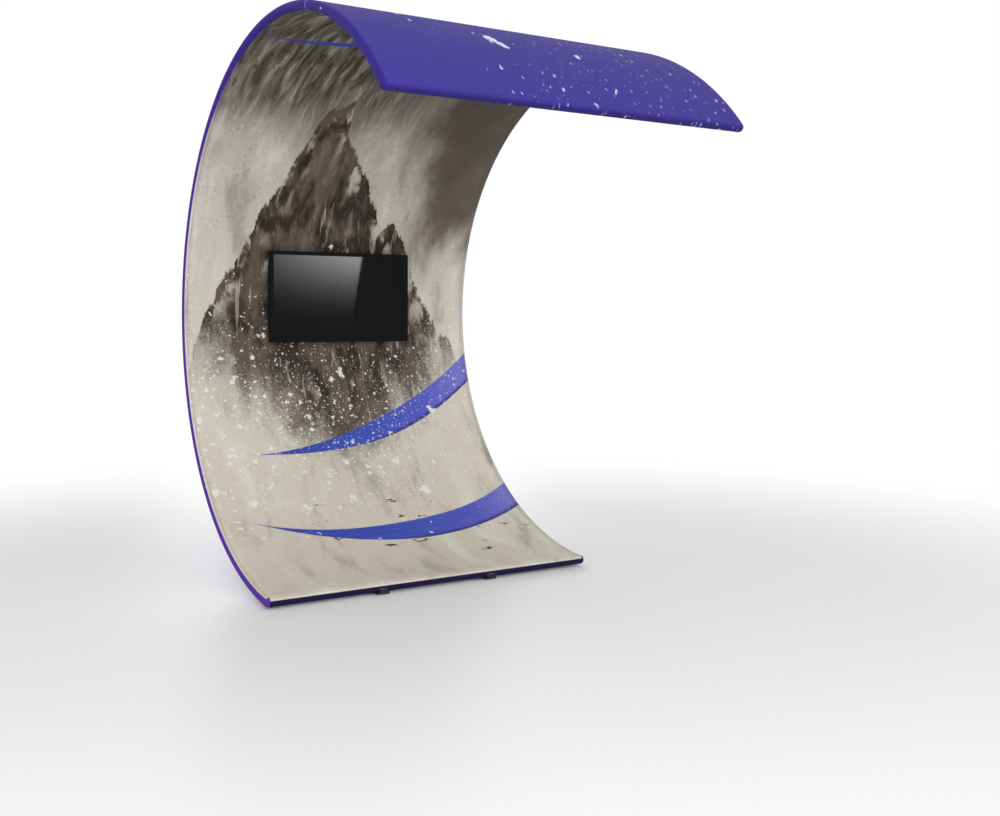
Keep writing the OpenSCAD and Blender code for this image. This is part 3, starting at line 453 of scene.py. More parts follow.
# %% The plain cover
bm = bmesh.new()
cross_line(bm, START, -COVER, HALF)
for side in (-1, 1):
    corner = max(bm.verts, key=lambda v: side * v.co.x)
    swept(bm, [corner], place(START, 0, side * HALF), along(START), -side * math.pi, ROUND_STEPS)
section = bm.verts[:] + bm.edges[:]
far_section = swept(bm, section, CENTRE, X_AXIS, math.radians(END - START), ARC_STEPS)

for geometry, heading, turn in ((section, START, -1), (far_section, END, 1)):
    outer = [g for g in geometry if isinstance(g, bmesh.types.BMVert) and locate(g.co)[1] < 1e-5]
    chosen = set(outer)
    edges = [g for g in geometry if isinstance(g, bmesh.types.BMEdge) and set(g.verts) <= chosen]
    swept(bm, outer + edges, place(heading, 0, 0), X_AXIS, turn * math.pi, ROUND_STEPS)
bmesh.ops.remove_doubles(bm, verts=bm.verts[:], dist=2e-5)
bmesh.ops.dissolve_degenerate(bm, edges=bm.edges[:], dist=1e-6)

# %% Notches for the feet, holes for the legs
NOTCH_HALF, NOTCH_REACH, NOTCH_TOP = 0.018, 0.022, 0.025
LEG_HOLE, LEG_SIDES = 0.0162, 24
BASE_Y = place(START, 0, 0).y
FOOT_X, LEG_Y = middle_of("foot_plate_right").x, middle_of("leg_right").y
spokes = [Vector((math.cos(a), math.sin(a), 0))
          for a in (math.tau * i / LEG_SIDES for i in range(LEG_SIDES))]
for x in (-FOOT_X, FOOT_X):
    notch = box_planes((x - NOTCH_HALF, BASE_Y - NOTCH_REACH, None),
                       (x + NOTCH_HALF, BASE_Y + NOTCH_REACH, NOTCH_TOP))
    open_hole(bm, notch, lambda p: abs(p.x - x) < 0.06 and abs(p.y - BASE_Y) < 0.06 and p.z < 0.06)
    open_hole(bm, [(Vector((x, LEG_Y, 0)) + LEG_HOLE * spoke, spoke) for spoke in spokes],
              lambda p: abs(p.x - x) < 0.06 and abs(p.y - LEG_Y) < 0.05 and p.z < 0.7)

# %% The slot that the zip closes
ZIP_HEADING, ZIP_HALF, ZIP_SLOT = 20.0, HALF - 0.022, 0.014
slot_turn = degrees_of(ZIP_SLOT / 2)
slot = [(side * ZIP_HALF * X_AXIS, side * X_AXIS) for side in (-1, 1)]
slot += [(place(ZIP_HEADING + turn, 0, 0), math.copysign(1, turn) * along(ZIP_HEADING + turn))
         for turn in (-slot_turn, slot_turn)]
open_hole(bm, slot, lambda p: abs(locate(p)[0] - ZIP_HEADING) < 2 and locate(p)[1] < -0.01)


def on_notch(point):
    """Whether a point of an open edge is on a notch, and not on the seam beside it."""
    heading, inward, _ = locate(point)
    on_seam = abs(inward - COVER) < 1e-4 and START - 0.1 <= heading <= END + 0.1
    return not on_seam and point.z < 0.06 and abs(point.y - BASE_Y) < 0.05


notch_edges = open_edges(bm, on_notch)
plain, plain_area = finish_sheet(bm, "plain_cover", place(90, -COVER, 0), Y_AXIS, 0.0007)
print("plain cover", round(plain_area, 3), "square metres")

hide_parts("front_graphic")
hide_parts("rear_cover")
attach(printed, "frame")
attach(plain, "frame")

# %% [markdown]
# ## Effects that several materials share
# Knit, flecks and the marks of handling turn up on several finishes. Each is a node group with its
# own sockets, so that one good recipe is placed with other values on each material. A group puts
# out only masks and heights, and the shader stays in its material.


# %% Groups
def group(name, inputs, outputs, kind="Float"):
    """A new shader group and its ends. Inputs map a name to its default, where None is a vector."""
    made = bpy.data.node_groups.new(name, "ShaderNodeTree")
    for socket, default in inputs.items():
        of = "NodeSocketVector" if default is None else "NodeSocketFloat"
        item = made.interface.new_socket(socket, in_out="INPUT", socket_type=of)
        if default is not None:
            item.default_value = default
    for socket in outputs:
        made.interface.new_socket(socket, in_out="OUTPUT", socket_type="NodeSocket" + kind)
    return made, made.nodes.new("NodeGroupInput").outputs, made.nodes.new("NodeGroupOutput")


def use(made, **inputs):
    """Places a group and returns its outputs."""
    titled = {name.title(): value for name, value in inputs.items()}
    return node("Group", titled, node_tree=made).outputs


# %% Knit
# Warp knit: columns of small V-shaped loops, one loop to a pitch
KNIT_PITCH, KNIT_DEPTH = 0.0014, 0.00028


def resized(vector, factor):
    return node("VectorMath", {"Vector": vector, "Scale": factor}, operation="SCALE").outputs[0]


knit, given, out = group("knit", {"Cloth": None, "Pitch": KNIT_PITCH}, ("Height", "Shade"))
x, y, _ = split(resized(given["Cloth"], calc("DIVIDE", 1.0, given["Pitch"])))
column = absolute(minus(calc("FRACT", x), 0.5))
row = calc("SINE", times(plus(y, column), math.tau))
yarn = calc("COSINE", times(column, math.tau * 2))
feed(out, {"Height": scaled(minus(row, yarn), 0.25, 0.5),
           "Shade": scaled(noise(given["Cloth"], 26.0, 4.0), 0.5,
                           times(noise(given["Cloth"], 3.0, 2.0), 0.5))})

# %% Flecks
# Some of a Voronoi pattern's cells hold a ragged spot, each of its own size
flecks, given, out = group("flecks", {"Place": None, "Scale": 20.0, "Share": 0.2, "Size": 0.3,
                                      "Ragged": 0.3, "Core": 0.75}, ("Mask",))
wander = node("TexNoise", {"Vector": given["Place"], "Scale": times(given["Scale"], 2.4),
                           "Detail": 3.0, "Roughness": 0.65}).outputs["Color"]
wander = resized(vector_calc("SUBTRACT", wander, (0.5, 0.5, 0.5))[0],
                 calc("DIVIDE", given["Ragged"], given["Scale"]))
cells = node("TexVoronoi", {"Vector": vector_calc("ADD", given["Place"], wander)[0],
                            "Scale": given["Scale"]}).outputs
chance = node("SeparateColor", {0: cells["Color"]}).outputs
held = above(given["Share"], chance["Red"])
reach = times(given["Size"], scaled(calc("POWER", chance["Green"], 2.0), 0.75, 0.25))
feed(out, {"Mask": times(step(cells["Distance"], reach, times(reach, given["Core"])), held)})

# %% Pucker and handling
# Pucker: the ripple that a tight seam draws across the cloth beside it
pucker, given, out = group("seam_pucker", {"Cloth": None, "Distance": 0.01, "Width": 0.02},
                           ("Height",))
near = step(given["Distance"], given["Width"], 0.0)
feed(out, {"Height": times(noise(given["Cloth"], 60.0, 2.0), near)})


def mapped(vector, scale, turn=(0, 0, 0), shift=(0, 0, 0)):
    return node("Mapping", {"Vector": vector, "Location": shift, "Rotation": turn,
                            "Scale": scale}).outputs[0]


# Handling: soft clouds of wear, a fine grain, and thin scratches on hard surfaces
handling, given, out = group("handling", {"Place": None, "Grain": 900.0},
                             ("Cloud", "Grain", "Scratch"))
stretched = mapped(given["Place"], (260, 14, 90), turn=(0.4, 0.7, 0.9))
feed(out, {"Cloud": noise(given["Place"], 9.0, 4.0, 0.6),
           "Grain": noise(given["Place"], given["Grain"], 2.0, 0.6),
           "Scratch": step(noise(stretched, 1.0, 2.0), 0.66, 0.72)})
print([made.name for made in bpy.data.node_groups])

# %% [markdown]
# ## The picture on the inside
# A display wall like this is printed edge to edge with a picture. This one is a plain mountain
# scene: snow that darkens upwards, a rock ridge that breaks up into powder at its foot, streaked
# rock above, and ribbons of blue. It could be one huge image, but an image would blur close up.
# Here each motif is a formula on the unrolled cloth, in metres, so its edge is sharp at any
# distance. The motifs are laid over each other from back to front, as a painter would.


# %% Snow
def blend(share, first, second, how="MIX"):
    """Mixes outputs, or colours of three numbers as a screen shows them."""
    first, second = (srgb(*c) if isinstance(c, tuple) else c for c in (first, second))
    return node("Mix", {0: share, 6: first, 7: second}, data_type="RGBA", blend_type=how).outputs[2]


picture_group, given, painted = group("mountain_picture", {"Cloth": None}, ("Picture",), "Color")
cloth = given["Cloth"]
u, v, _ = split(cloth)
broad = noise(cloth, 1.3, 4.0)
middle = noise(cloth, 7.0, 6.0, 0.6)
fine = noise(cloth, 55.0, 5.0, 0.65)


def tilted(angle, across, up):
    """The cloth's coordinates, turned and stretched, for a pattern that runs in one direction."""
    return mapped(cloth, (across, up, 1), turn=(0, 0, math.radians(angle)))


# Snow: warm and light at the floor, grey overhead, mottled at three scales
snow = ramp(scaled(v, 0.2, scaled(broad, 0.16, -0.08)),
            (0.0, 208, 201, 186), (0.10, 212, 205, 190), (0.34, 213, 207, 195),
            (0.52, 189, 184, 174), (0.74, 126, 120, 112), (1.0, 92, 86, 79))
drift = noise(tilted(-32, 5.5, 2.0), 1.0, 6.0, 0.6, 0.5)
snow = blend(times(step(drift, 0.50, 0.68), 0.5), snow, (232, 228, 218))
snow = blend(times(step(drift, 0.48, 0.30), 0.55), snow, (128, 121, 110))
crust = times(step(middle, 0.44, 0.60), 0.55)
snow = blend(times(step(fine, 0.54, 0.70), crust), snow, (238, 235, 228))
shaded = times(step(v, 1.4, 2.6), 0.5)
snow = blend(times(step(fine, 0.44, 0.30), shaded), snow, (92, 84, 75))

# %% Rock overhead and haze
# Streaked rock overhead: long thin cracks, and paler ledges between them
streaks = noise(tilted(-38, 24, 3.6), 1.0, 6.0, 0.62, 0.5)
overhead = times(step(scaled(broad, 0.8, v), 2.9, 3.6), step(scaled(broad, 0.7, u), 1.15, 0.2))
ledges = ramp(streaks, (0.36, 46, 40, 33), (0.44, 78, 72, 64), (0.52, 104, 98, 89),
              (0.60, 134, 128, 118), (0.68, 168, 162, 152))
cracks = absolute(minus(noise(tilted(-42, 34, 2.6), 1.0, 3.0, 0.5, 0.9), 0.5))
ledges = blend(times(step(cracks, 0.022, 0.004), step(middle, 0.42, 0.56)), ledges, (44, 36, 28))
picture = blend(overhead, snow, ledges)

# Haze: a dark slope seen through mist on the upper right. It is an oval patch with a ragged edge
patch = mapped(mapped(cloth, (1, 1, 1), shift=(-0.72, -2.95, 0)), (1 / 0.42, 1 / 0.95, 1),
               turn=(0, 0, math.radians(24)))
broken = noise(tilted(18, 1.2, 1.2 * 0.55), 1.0, 8.0, 0.6, 0.3)
lifted = scaled(vector_calc("LENGTH", patch)["Value"], -0.42, scaled(broken, 1.1, 0.33))
mist = ramp(scaled(middle, 0.3, times(broad, 0.7)),
            (0.35, 70, 60, 52), (0.55, 92, 82, 73), (0.75, 120, 111, 101))
picture = blend(times(step(lifted, 0.42, 0.62), 0.92), picture, mist)

# %% Crags and stones
# Crags: dark rock in folds, with snow caught on its ledges, dissolving into powder below
folds = absolute(scaled(noise(tilted(28, 8.5, 3.8), 1.0, 8.0, 0.6, 0.4), 2.0, -1.0))
rock = ramp(scaled(middle, 0.5, times(folds, 1.1)),
            (0.22, 36, 30, 26), (0.36, 66, 57, 50), (0.52, 98, 88, 79), (0.78, 142, 133, 121))
rock = blend(times(step(drift, 0.47, 0.56), 0.45), rock, (124, 112, 99))
rock = blend(times(step(streaks, 0.58, 0.67), 0.7), rock, (184, 178, 168))
# Each peak's outline is two slopes with a broken edge. Below, wind wraps the rock in powder
for peak_u, peak_v, slope, shift in ((0.30, 2.34, 1.9, 0.0), (-0.14, 3.00, 2.3, 3.0)):
    edge = noise(mapped(cloth, (3.1, 0.5, 1), shift=(shift, 0, 0)), 1.0, 8.0, 0.6)
    height = scaled(minus(edge, 0.5), 0.85, scaled(absolute(minus(u, peak_u)), -slope, peak_v))
    depth = minus(scaled(minus(fine, 0.5), 0.10, height), v)
    wrapped = scaled(fine, 0.35, scaled(absolute(plus(u, 0.02)), -0.75, v))
    outline = times(step(depth, -0.008, 0.014), step(scaled(drift, 1.1, wrapped), 1.55, 2.05))
    lit = times(step(depth, 0.34, 0.0), step(folds, 0.12, 0.30))
    picture = blend(outline, picture, blend(times(lit, 0.8), rock, (206, 201, 191)))

# Dark stones that break through the snow below
low_bed = times(step(v, 0.20, 0.34), step(v, 0.95, 0.60))
stones = use(flecks, place=tilted(34, 1.0, 2.6), scale=9.0, size=0.42, ragged=1.5,
             share=times(low_bed, times(step(u, -0.45, -0.1), 0.55)))
picture = blend(times(stones[0], 0.92), picture, (40, 33, 27))

# %% Ribbons and powder
# A ribbon is an arc of paint that starts in a point and swells. Its lower edge is in shade
brushed = noise(tilted(8, 5, 90), 1.0, 3.0)
for centre, radius, left, widest in (((-0.45, 3.02), 1.95, -0.62, 0.062),
                                     ((0.05, 2.02), 1.50, -0.72, 0.075),
                                     ((-0.62, 4.45), 1.05, -0.95, 0.034)):
    off = minus(vector_calc("DISTANCE", cloth, (*centre, 0))["Value"], radius)
    swell = times(step(u, left, left + 1.0), widest)
    inside = minus(swell, scaled(minus(fine, 0.5), 0.006, absolute(off)))
    mask = times(step(inside, 0.0, 0.004), calc("LESS_THAN", v, centre[1]))
    paint = ramp(scaled(u, 0.6, 0.5), (0.0, 52, 62, 160), (0.55, 60, 82, 182), (0.80, 84, 92, 196),
                 (1.0, 136, 128, 208))
    paint = blend(step(calc("DIVIDE", off, widest), 0.55, 1.0), paint, (44, 40, 118))
    paint = blend(times(step(brushed, 0.5, 0.75), 0.35), paint, (116, 126, 214))
    picture = blend(mask, picture, paint)

# Powder: clumps low on the left and under the ridge, then ever finer specks
clump_bed = times(step(scaled(broad, 0.8, u), 1.0, 0.0),
                  times(step(v, 0.35, 0.9), step(v, 2.2, 1.2)))
spray = times(step(v, 0.5, 1.1), step(v, 2.1, 1.3))
chalk = blend(fine, (222, 219, 211), (252, 251, 247))
for scale, size, share, core, bed in ((4.6, 0.30, 0.70, 0.55, clump_bed),
                                      (10.0, 0.40, 0.80, 0.6, clump_bed),
                                      (26.0, 0.40, 0.80, 0.7, clump_bed),
                                      (52.0, 0.38, 0.62, 0.75, spray),
                                      (110.0, 0.38, 0.50, 0.75, spray)):
    spots = use(flecks, place=cloth, scale=scale, size=size, ragged=1.1, core=core,
                share=times(bed, share))
    picture = blend(times(spots[0], 0.95), picture, chalk)

feed(painted, {"Picture": picture})
print("picture", len(picture_group.nodes), "nodes")


# %% Printed knit
def on_cloth(tree):
    """Where a point lies on the unrolled cloth, in metres."""
    return source(tree, "UVMap", uv_map="cloth").outputs[0]


def raise_surface(shader, height, distance):
    """Feeds a height to the shader's normal through a Bump node. The distance is in metres."""
    bump = node("Bump", {"Height": height, "Distance": distance})
    feed(shader, {"Normal": bump.outputs["Normal"]})


def paint_shade_in_gaps(colour, loops, share, shade):
    """Paints shade into the gaps between a knit's loops: a darker colour where the loops lie low.
    """
    return blend(times(step(loops["Height"], 0.45, 0.1), share), colour, shade)


printed_knit, tree, shader = material("printed_knit", specular_ior_level=0.15)
cloth = on_cloth(tree)
u, v, _ = split(cloth)
loops = use(knit, cloth=cloth, pitch=KNIT_PITCH)
picture = blend(0.06, use(picture_group, cloth=cloth)[0], loops["Shade"], "OVERLAY")
# The gaps between the knit's loops get painted shade
feed(shader, {"Base Color": paint_shade_in_gaps(picture, loops, 0.2, (60, 56, 52)),
              "Roughness": scaled(loops["Shade"], 0.16, 0.54)})

# The bump is the knit and the pucker along the four seams
side_edge = minus(PRINT_HALF, absolute(u))
end_edge = minus(length_of((END - START) / 2), absolute(minus(v, length_of((START + END) / 2))))
drawn = use(pucker, cloth=cloth, distance=calc("MINIMUM", side_edge, end_edge), width=0.026)
raise_surface(shader, scaled(drawn[0], 4.0, loops["Height"]), KNIT_DEPTH)
printed.data.materials.append(printed_knit)
print("printed knit", len(tree.nodes), "nodes")

# %% [markdown]
# ## The violet cover
# The outside is the same knit in one deep violet, with powder flecks blown across its front edge.
# The colour isn't even: it is bluer and darker over the crown and redder down the sides, and the
# round bands darken towards the crown as painted shade. On the round bands the cloth turns sharply
# over the tube, so the seam beside them draws it into small ripples.

# %% Violet cloth
SEAM = HALF + COVER * math.pi  # where the side band meets the printed sheet, on the flat cloth
JOIN = 3.927  # how far up the arc two cut lengths meet

violet, tree, shader = material("violet_knit", specular_ior_level=0.15)
cloth = on_cloth(tree)
u, v, _ = split(cloth)
across = absolute(u)
loops = use(knit, cloth=cloth, pitch=KNIT_PITCH)
base = ramp(scaled(loops["Shade"], 0.10, times(v, 0.19)),
            (0.0, 84, 50, 150), (0.45, 76, 50, 152), (0.68, 57, 43, 136), (1.0, 60, 47, 140))
band = step(across, HALF + 0.002, HALF + 0.012)
# The round bands darken towards the crown: painted shade
side = ramp(times(v, 0.2), (0.0, 86, 44, 160), (0.5, 78, 42, 152), (0.66, 47, 28, 132),
            (1.0, 44, 27, 122))
base = blend(band, base, side)

# Round the base bar the cloth turns to the floor. There it is painted darkest, as painted shade and
# a painted reflection of a dark floor. Round the lip bar the cloth is darker too
beyond = minus(length_of(START), v)
past_side, past_base = above(across, HALF), above(beyond, 0.0)
base_bar_shade = times(step(beyond, 0.0, 0.004), step(across, HALF + 0.004, HALF))
base = blend(base_bar_shade, base, (21, 12, 54))
past_lip = minus(v, length_of(END))
base = blend(step(past_lip, 0.004, 0.026), base, (40, 29, 108))

# The join of two cut lengths shows as a fine pale line across each band
line = step(absolute(minus(v, JOIN)), 0.0046, 0.0028)
base = blend(times(times(line, band), 0.85), base, (158, 122, 234))

# %% Flecks on the canopy
# Few and large to the left, small and dense to the right
canopy = step(v, 2.6, 3.9)
right_end = times(canopy, step(scaled(v, 0.35, u), 0.95, 2.05))
slanted = mapped(cloth, (1, 0.55, 1), turn=(0, 0, 0.7))
for scale, size, share, bed, strength in (
        (6.5, 0.22, 0.34, canopy, 1.0), (15.0, 0.20, 0.30, canopy, 0.95),
        (30.0, 0.26, 0.50, right_end, 0.6), (64.0, 0.34, 0.60, right_end, 0.42)):
    spots = use(flecks, place=slanted, scale=scale, size=size, ragged=0.9, share=times(bed, share))
    base = blend(times(spots[0], strength), base, (226, 222, 244))
front_edge = times(step(v, 4.56, 4.66), step(u, -0.35, 0.2))
ticks = use(flecks, place=mapped(cloth, (1, 0.28, 1)), scale=48.0, size=0.32, ragged=0.12, core=0.3,
            share=times(front_edge, 0.5))
base = blend(times(ticks[0], 0.4), base, (178, 158, 236))


# %% Bleed and bump
def combined(x, y):
    return node("CombineXYZ", {"X": x, "Y": y}).outputs[0]


# The picture bleeds a little way round the bands and the base bar, and ends in a clean edge there
from_seam = minus(SEAM, across)
from_base = minus(COVER * math.pi, beyond)
bleed = times(step(v, 3.5, 2.5), 0.013)
on_side = times(step(minus(bleed, from_seam), -0.0003, 0.0003), above(past_side, past_base))
on_base = times(step(minus(0.020, from_base), -0.0003, 0.0003), above(past_base, past_side))
follow = blend(on_base, combined(times(calc("SIGN", u), plus(HALF, from_seam)), v),
               combined(u, minus(length_of(START), from_base)))
base = blend(calc("MAXIMUM", on_side, on_base), base, use(picture_group, cloth=follow)[0])
# The gaps between the knit's loops get painted shade
feed(shader, {"Base Color": paint_shade_in_gaps(base, loops, 0.25, (30, 20, 74)),
              "Roughness": scaled(loops["Shade"], 0.2, 0.5)})

# The bump is the knit, the pucker along the seam and the join, and long shallow draw lines from
# hoop to hoop across the back, where the cloth is pulled least
drawn = use(pucker, cloth=cloth, distance=absolute(minus(across, SEAM)), width=0.022)
joined = use(pucker, cloth=cloth, distance=absolute(minus(v, JOIN)), width=0.02)
height = scaled(plus(drawn[0], times(joined[0], band)), 4.5, loops["Height"])
slack = noise(mapped(cloth, (0.9, 7.0, 1), turn=(0, 0, 0.05)), 1.0, 3.0, 0.45, 0.4)
slack = times(slack, times(step(v, 3.4, 2.6), step(across, HALF, 0.6)))
raise_surface(shader, scaled(slack, 16.0, height), KNIT_DEPTH)
plain.data.materials.append(violet)
print("violet knit", len(tree.nodes), "nodes")

# %% [markdown]
# ## Thread and hems
# A seam reads as a seam through its thread. Each stitch is a short fat bead, half sunk in the
# cloth, of twenty faces. A bump could fake the row, but beads catch the light from every side. Spin
# copies them: about the curve's axis for the long seams, and with no angle and only a shift for the
# straight ones.

# %% Stitching
STITCH_PITCH = 0.0052
STITCH = (0.0019, 0.00042, 0.00032)  # half of its length, width and height
SEAM_TURN = 0.004 / COVER  # the seam's row lies 4 mm round the band from its join with the picture


def set_down(bm, verts, size, spot, forward, up):
    """Stretches a loose shape, turns it and puts it in its place. Returns all its geometry."""
    bmesh.ops.scale(bm, vec=size, verts=verts)
    turn = Matrix((forward, up.cross(forward), up)).transposed().to_4x4()
    bmesh.ops.transform(bm, matrix=Matrix.Translation(spot) @ turn, verts=verts)
    faces = {f for v in verts for f in v.link_faces}
    return [*verts, *{e for f in faces for e in f.edges}, *faces]


def bead(bm, size, spot, forward, up):
    ball = bmesh.ops.create_icosphere(bm, subdivisions=1, radius=1.0)["verts"]
    return set_down(bm, ball, size, spot, forward, up)


def repeat(bm, first, count, centre=(0, 0, 0), turn=0.0, shift=(0, 0, 0)):
    """Copies geometry in equal steps of turn and shift. A block is made first and copied whole,
    because a spin step takes longer as the mesh grows."""
    block = max(1, round(math.sqrt(count)))
    before = {*bm.verts, *bm.edges, *bm.faces} - set(first)
    shift = Vector(shift)
    bmesh.ops.spin(bm, geom=first, cent=centre, axis=X_AXIS, dvec=shift, angle=turn * (block - 1),
                   steps=block - 1, use_duplicate=True)
    whole = [g for g in (*bm.verts, *bm.edges, *bm.faces) if g not in before]
    blocks = count // block
    bmesh.ops.spin(bm, geom=whole, cent=centre, axis=X_AXIS, dvec=shift * block,
                   angle=turn * block * (blocks - 1), steps=blocks - 1, use_duplicate=True)


# %% Rows of stitches
def curved_row(bm, side):
    """Stitches along the arc, on the side band's round."""
    start, end = START + 0.4, END - 0.4
    across = side * (HALF + COVER * math.sin(SEAM_TURN))
    inward = COVER * math.cos(SEAM_TURN) + CLEAR
    outwards = (towards_centre(start) * math.cos(SEAM_TURN)
                + side * X_AXIS * math.sin(SEAM_TURN))
    span = math.radians(end - start)
    count = int(span * RADIUS / STITCH_PITCH)
    first = bead(bm, STITCH, place(start, inward, across), along(start), outwards)
    repeat(bm, first, count, CENTRE, span / count)


def straight_row(bm, point, up, half):
    """Stitches across the wall, from one side to the other."""
    count = int(2 * half / STITCH_PITCH)
    first = bead(bm, STITCH, Vector((-half, point.y, point.z)), X_AXIS, up)
    repeat(bm, first, count, shift=(2 * half / count, 0, 0))


def make_piece(bm, name, finish):
    """Turns a bmesh into a piece of the frame, with its finish."""
    bmesh.ops.recalc_face_normals(bm, faces=bm.faces[:])
    for face in bm.faces:
        face.smooth = True
    made = as_object(bm, name)
    made.data.materials.append(finish)
    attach(made, "frame")
    print(name, len(made.data.polygons), "faces")
    return made


# %% Thread
# Thread matches the cloth: sand up the printed sides, violet round the canopy and along the zip
thread, tree, shader = material("violet_thread", sheen_weight=0.3)
spot = in_metres(tree)
twist = noise(spot, 1400.0, 2.0)
tone = scaled(twist, 0.6, times(noise(spot, 12.0, 2.0), 0.4))
x, y, z = split(spot)
heading = calc("ARCTAN2", minus(y, CENTRE.y), minus(CENTRE.z, z))
sand = times(step(heading, math.radians(165), math.radians(135)),
             step(heading, math.radians(-8), math.radians(-7)))
off_zip = step(absolute(minus(heading, math.radians(ZIP_HEADING))), 0.008, 0.03)
sand = times(sand, calc("MAXIMUM", off_zip, above(absolute(x), HALF - 0.004)))
spool = blend(sand, ramp(tone, (0.3, 46, 32, 108), (0.7, 84, 66, 160)),
              ramp(tone, (0.3, 150, 143, 134), (0.7, 206, 200, 190)))
feed(shader, {"Base Color": spool, "Roughness": scaled(twist, 0.3, 0.35)})
raise_surface(shader, twist, 0.00008)

# %% Seams
bm = bmesh.new()
for side in (-1, 1):
    curved_row(bm, side)
for heading, onward in ((START, -1), (END, 1)):
    lean = (towards_centre(heading) * math.cos(SEAM_TURN)
            + along(heading) * onward * math.sin(SEAM_TURN))
    straight_row(bm, place(heading, 0, 0) + lean * (COVER + CLEAR), lean, HALF - 0.004)
seam_thread = make_piece(bm, "seam_thread", thread)

# %% [markdown]
# A hole in a tight knit is bound or it ladders. The binding is a thin roll that follows the hole's
# edge, which a round curve along that edge makes in one step.


# %% Bound edges
def chains(edges):
    """Joins loose edges into closed runs of points."""
    links = {}
    for first, second in edges:
        links.setdefault(first, []).append(second)
        links.setdefault(second, []).append(first)
    runs = []
    while links:
        here = next(iter(links))
        run = []
        while here in links:
            run.append(here)
            here = next((end for end in links.pop(here) if end in links), None)
        runs.append(run)
    return runs


def binding(name, edges, thickness):
    """A thin roll of cloth round each hole that the edges outline."""
    curve = bpy.data.curves.new(name, "CURVE")
    curve.dimensions, curve.bevel_depth, curve.bevel_resolution = "3D", thickness, 1
    for run in chains(edges):
        spline = curve.splines.new("POLY")
        spline.points.add(len(run) - 1)
        for point, spot in zip(spline.points, run):
            point.co = (*spot, 1)
        spline.use_cyclic_u = True
    holder = bpy.data.objects.new(name + "_curve", curve)
    scene.collection.objects.link(holder)
    rolled = holder.evaluated_get(bpy.context.evaluated_depsgraph_get())
    bm = bmesh.new()
    bm.from_mesh(bpy.data.meshes.new_from_object(rolled))
    bpy.data.objects.remove(holder)
    return make_piece(bm, name, thread)


cover_binding = binding("cover_binding", notch_edges, 0.0005)
picture_binding = binding("picture_binding", window_edges, 0.0006)

# %% [markdown]
# ## The zip
# The cover closes with a long zip low on the back. Up close it is a woven tape with two rows of
# nylon coil in mesh, a metal stop at each end, and a line of stitches above and below. The tape is
# cut as a strip on the curve, and each coil turn is a bead, set half a pitch apart in the two rows.

# %% Tape cloth and coil nylon
RIB_PITCH, CORD_PITCH, COIL_PITCH = 0.0011, 0.0014, 0.0026
COIL_TURN = (0.00062, 0.0018, 0.0011)  # half of its size along the zip, across it and outwards
COIL_ROW = 0.00105  # from the chain's middle to a row of coil
STOP = (0.005, 0.0078, 0.0020)  # its whole size
STOP_INSET, THREAD_GAP = 0.0066, 0.0028  # from the slot's end to a stop, and its edge to the thread
TAPE_HALF, TAPE_LONG = ZIP_SLOT / 2 - CLEAR, ZIP_HALF - CLEAR
CHAIN_LONG = ZIP_HALF - 0.004
TAPE_COLUMNS, TAPE_ROWS = 60, 6

tape_cloth, tree, shader = material("zip_weave", sheen_weight=0.15)
spot = in_metres(tree)
x, y, _ = split(spot)
weave = times(calc("SINE", times(x, math.tau / RIB_PITCH)),
              calc("SINE", times(y, math.tau / CORD_PITCH)))
cloudy = noise(spot, 30.0)
feed(shader, {"Base Color": ramp(scaled(weave, 0.2, cloudy), (0.2, 34, 26, 58), (0.8, 62, 50, 98)),
              "Roughness": scaled(cloudy, 0.2, 0.62)})
raise_surface(shader, weave, 0.00015)

coil_nylon, tree, shader = material("coil_nylon")
spread = noise(in_metres(tree), 160.0)
feed(shader, {"Base Color": ramp(spread, (0.3, 40, 30, 72), (0.75, 78, 64, 122)),
              "Roughness": scaled(spread, 0.2, 0.26)})

# %% Tape
bm = bmesh.new()
corner = bm.verts.new(place(ZIP_HEADING - degrees_of(TAPE_HALF), -COVER, -TAPE_LONG))
swept(bm, [corner], CENTRE, X_AXIS, 2 * TAPE_HALF / RADIUS, TAPE_ROWS)
bmesh.ops.spin(bm, geom=bm.verts[:] + bm.edges[:], cent=(0, 0, 0), axis=X_AXIS, angle=0,
               dvec=(2 * TAPE_LONG / TAPE_COLUMNS, 0, 0), steps=TAPE_COLUMNS)
zip_tape = make_piece(bm, "zip_tape_woven", tape_cloth)
thicken(zip_tape, 0.0006)

# %% Chain, stops and thread
bm = bmesh.new()
for side, late in ((-1, 0), (1, 0.5)):
    heading = ZIP_HEADING + side * degrees_of(COIL_ROW)
    first = place(heading, -COVER - 0.0003, -CHAIN_LONG + 0.002 + late * COIL_PITCH)
    repeat(bm, bead(bm, COIL_TURN, first, X_AXIS, towards_centre(heading)),
           int((2 * CHAIN_LONG - 0.006) / COIL_PITCH), shift=(COIL_PITCH, 0, 0))
zip_coil = make_piece(bm, "zip_coil", coil_nylon)

bm = bmesh.new()
for side in (-1, 1):
    cube = bmesh.ops.create_cube(bm, size=1.0)["verts"]
    spot = place(ZIP_HEADING, -COVER - 0.0010, side * (ZIP_HALF - STOP_INSET))
    set_down(bm, cube, STOP, spot, X_AXIS, towards_centre(ZIP_HEADING))
bmesh.ops.bevel(bm, geom=bm.edges[:], offset=0.0006, segments=2, profile=0.5, affect="EDGES",
                material=-1)
zip_stops = make_piece(bm, "zip_stops", tape_cloth)

bm = bmesh.new()
for turn in (-1, 1):
    heading = ZIP_HEADING + turn * degrees_of(ZIP_SLOT / 2 + THREAD_GAP)
    straight_row(bm, place(heading, -COVER - CLEAR, 0), -towards_centre(heading), ZIP_HALF)
zip_thread = make_piece(bm, "zip_thread", thread)
for piece in (zip_tape, zip_coil, zip_stops):
    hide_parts("zip_tape")

# %% [markdown]
# ## Metal, plastic, rubber and glass
# The solids keep their shape and get their finish here. Extruded tube carries fine lines along its
# length, moulded parts a spark-eroded grain, powder coat an orange peel, and zinc a cloudy bloom.
# All of it is read from Object coordinates, which are the same metres as the frame, so each scale
# is real.


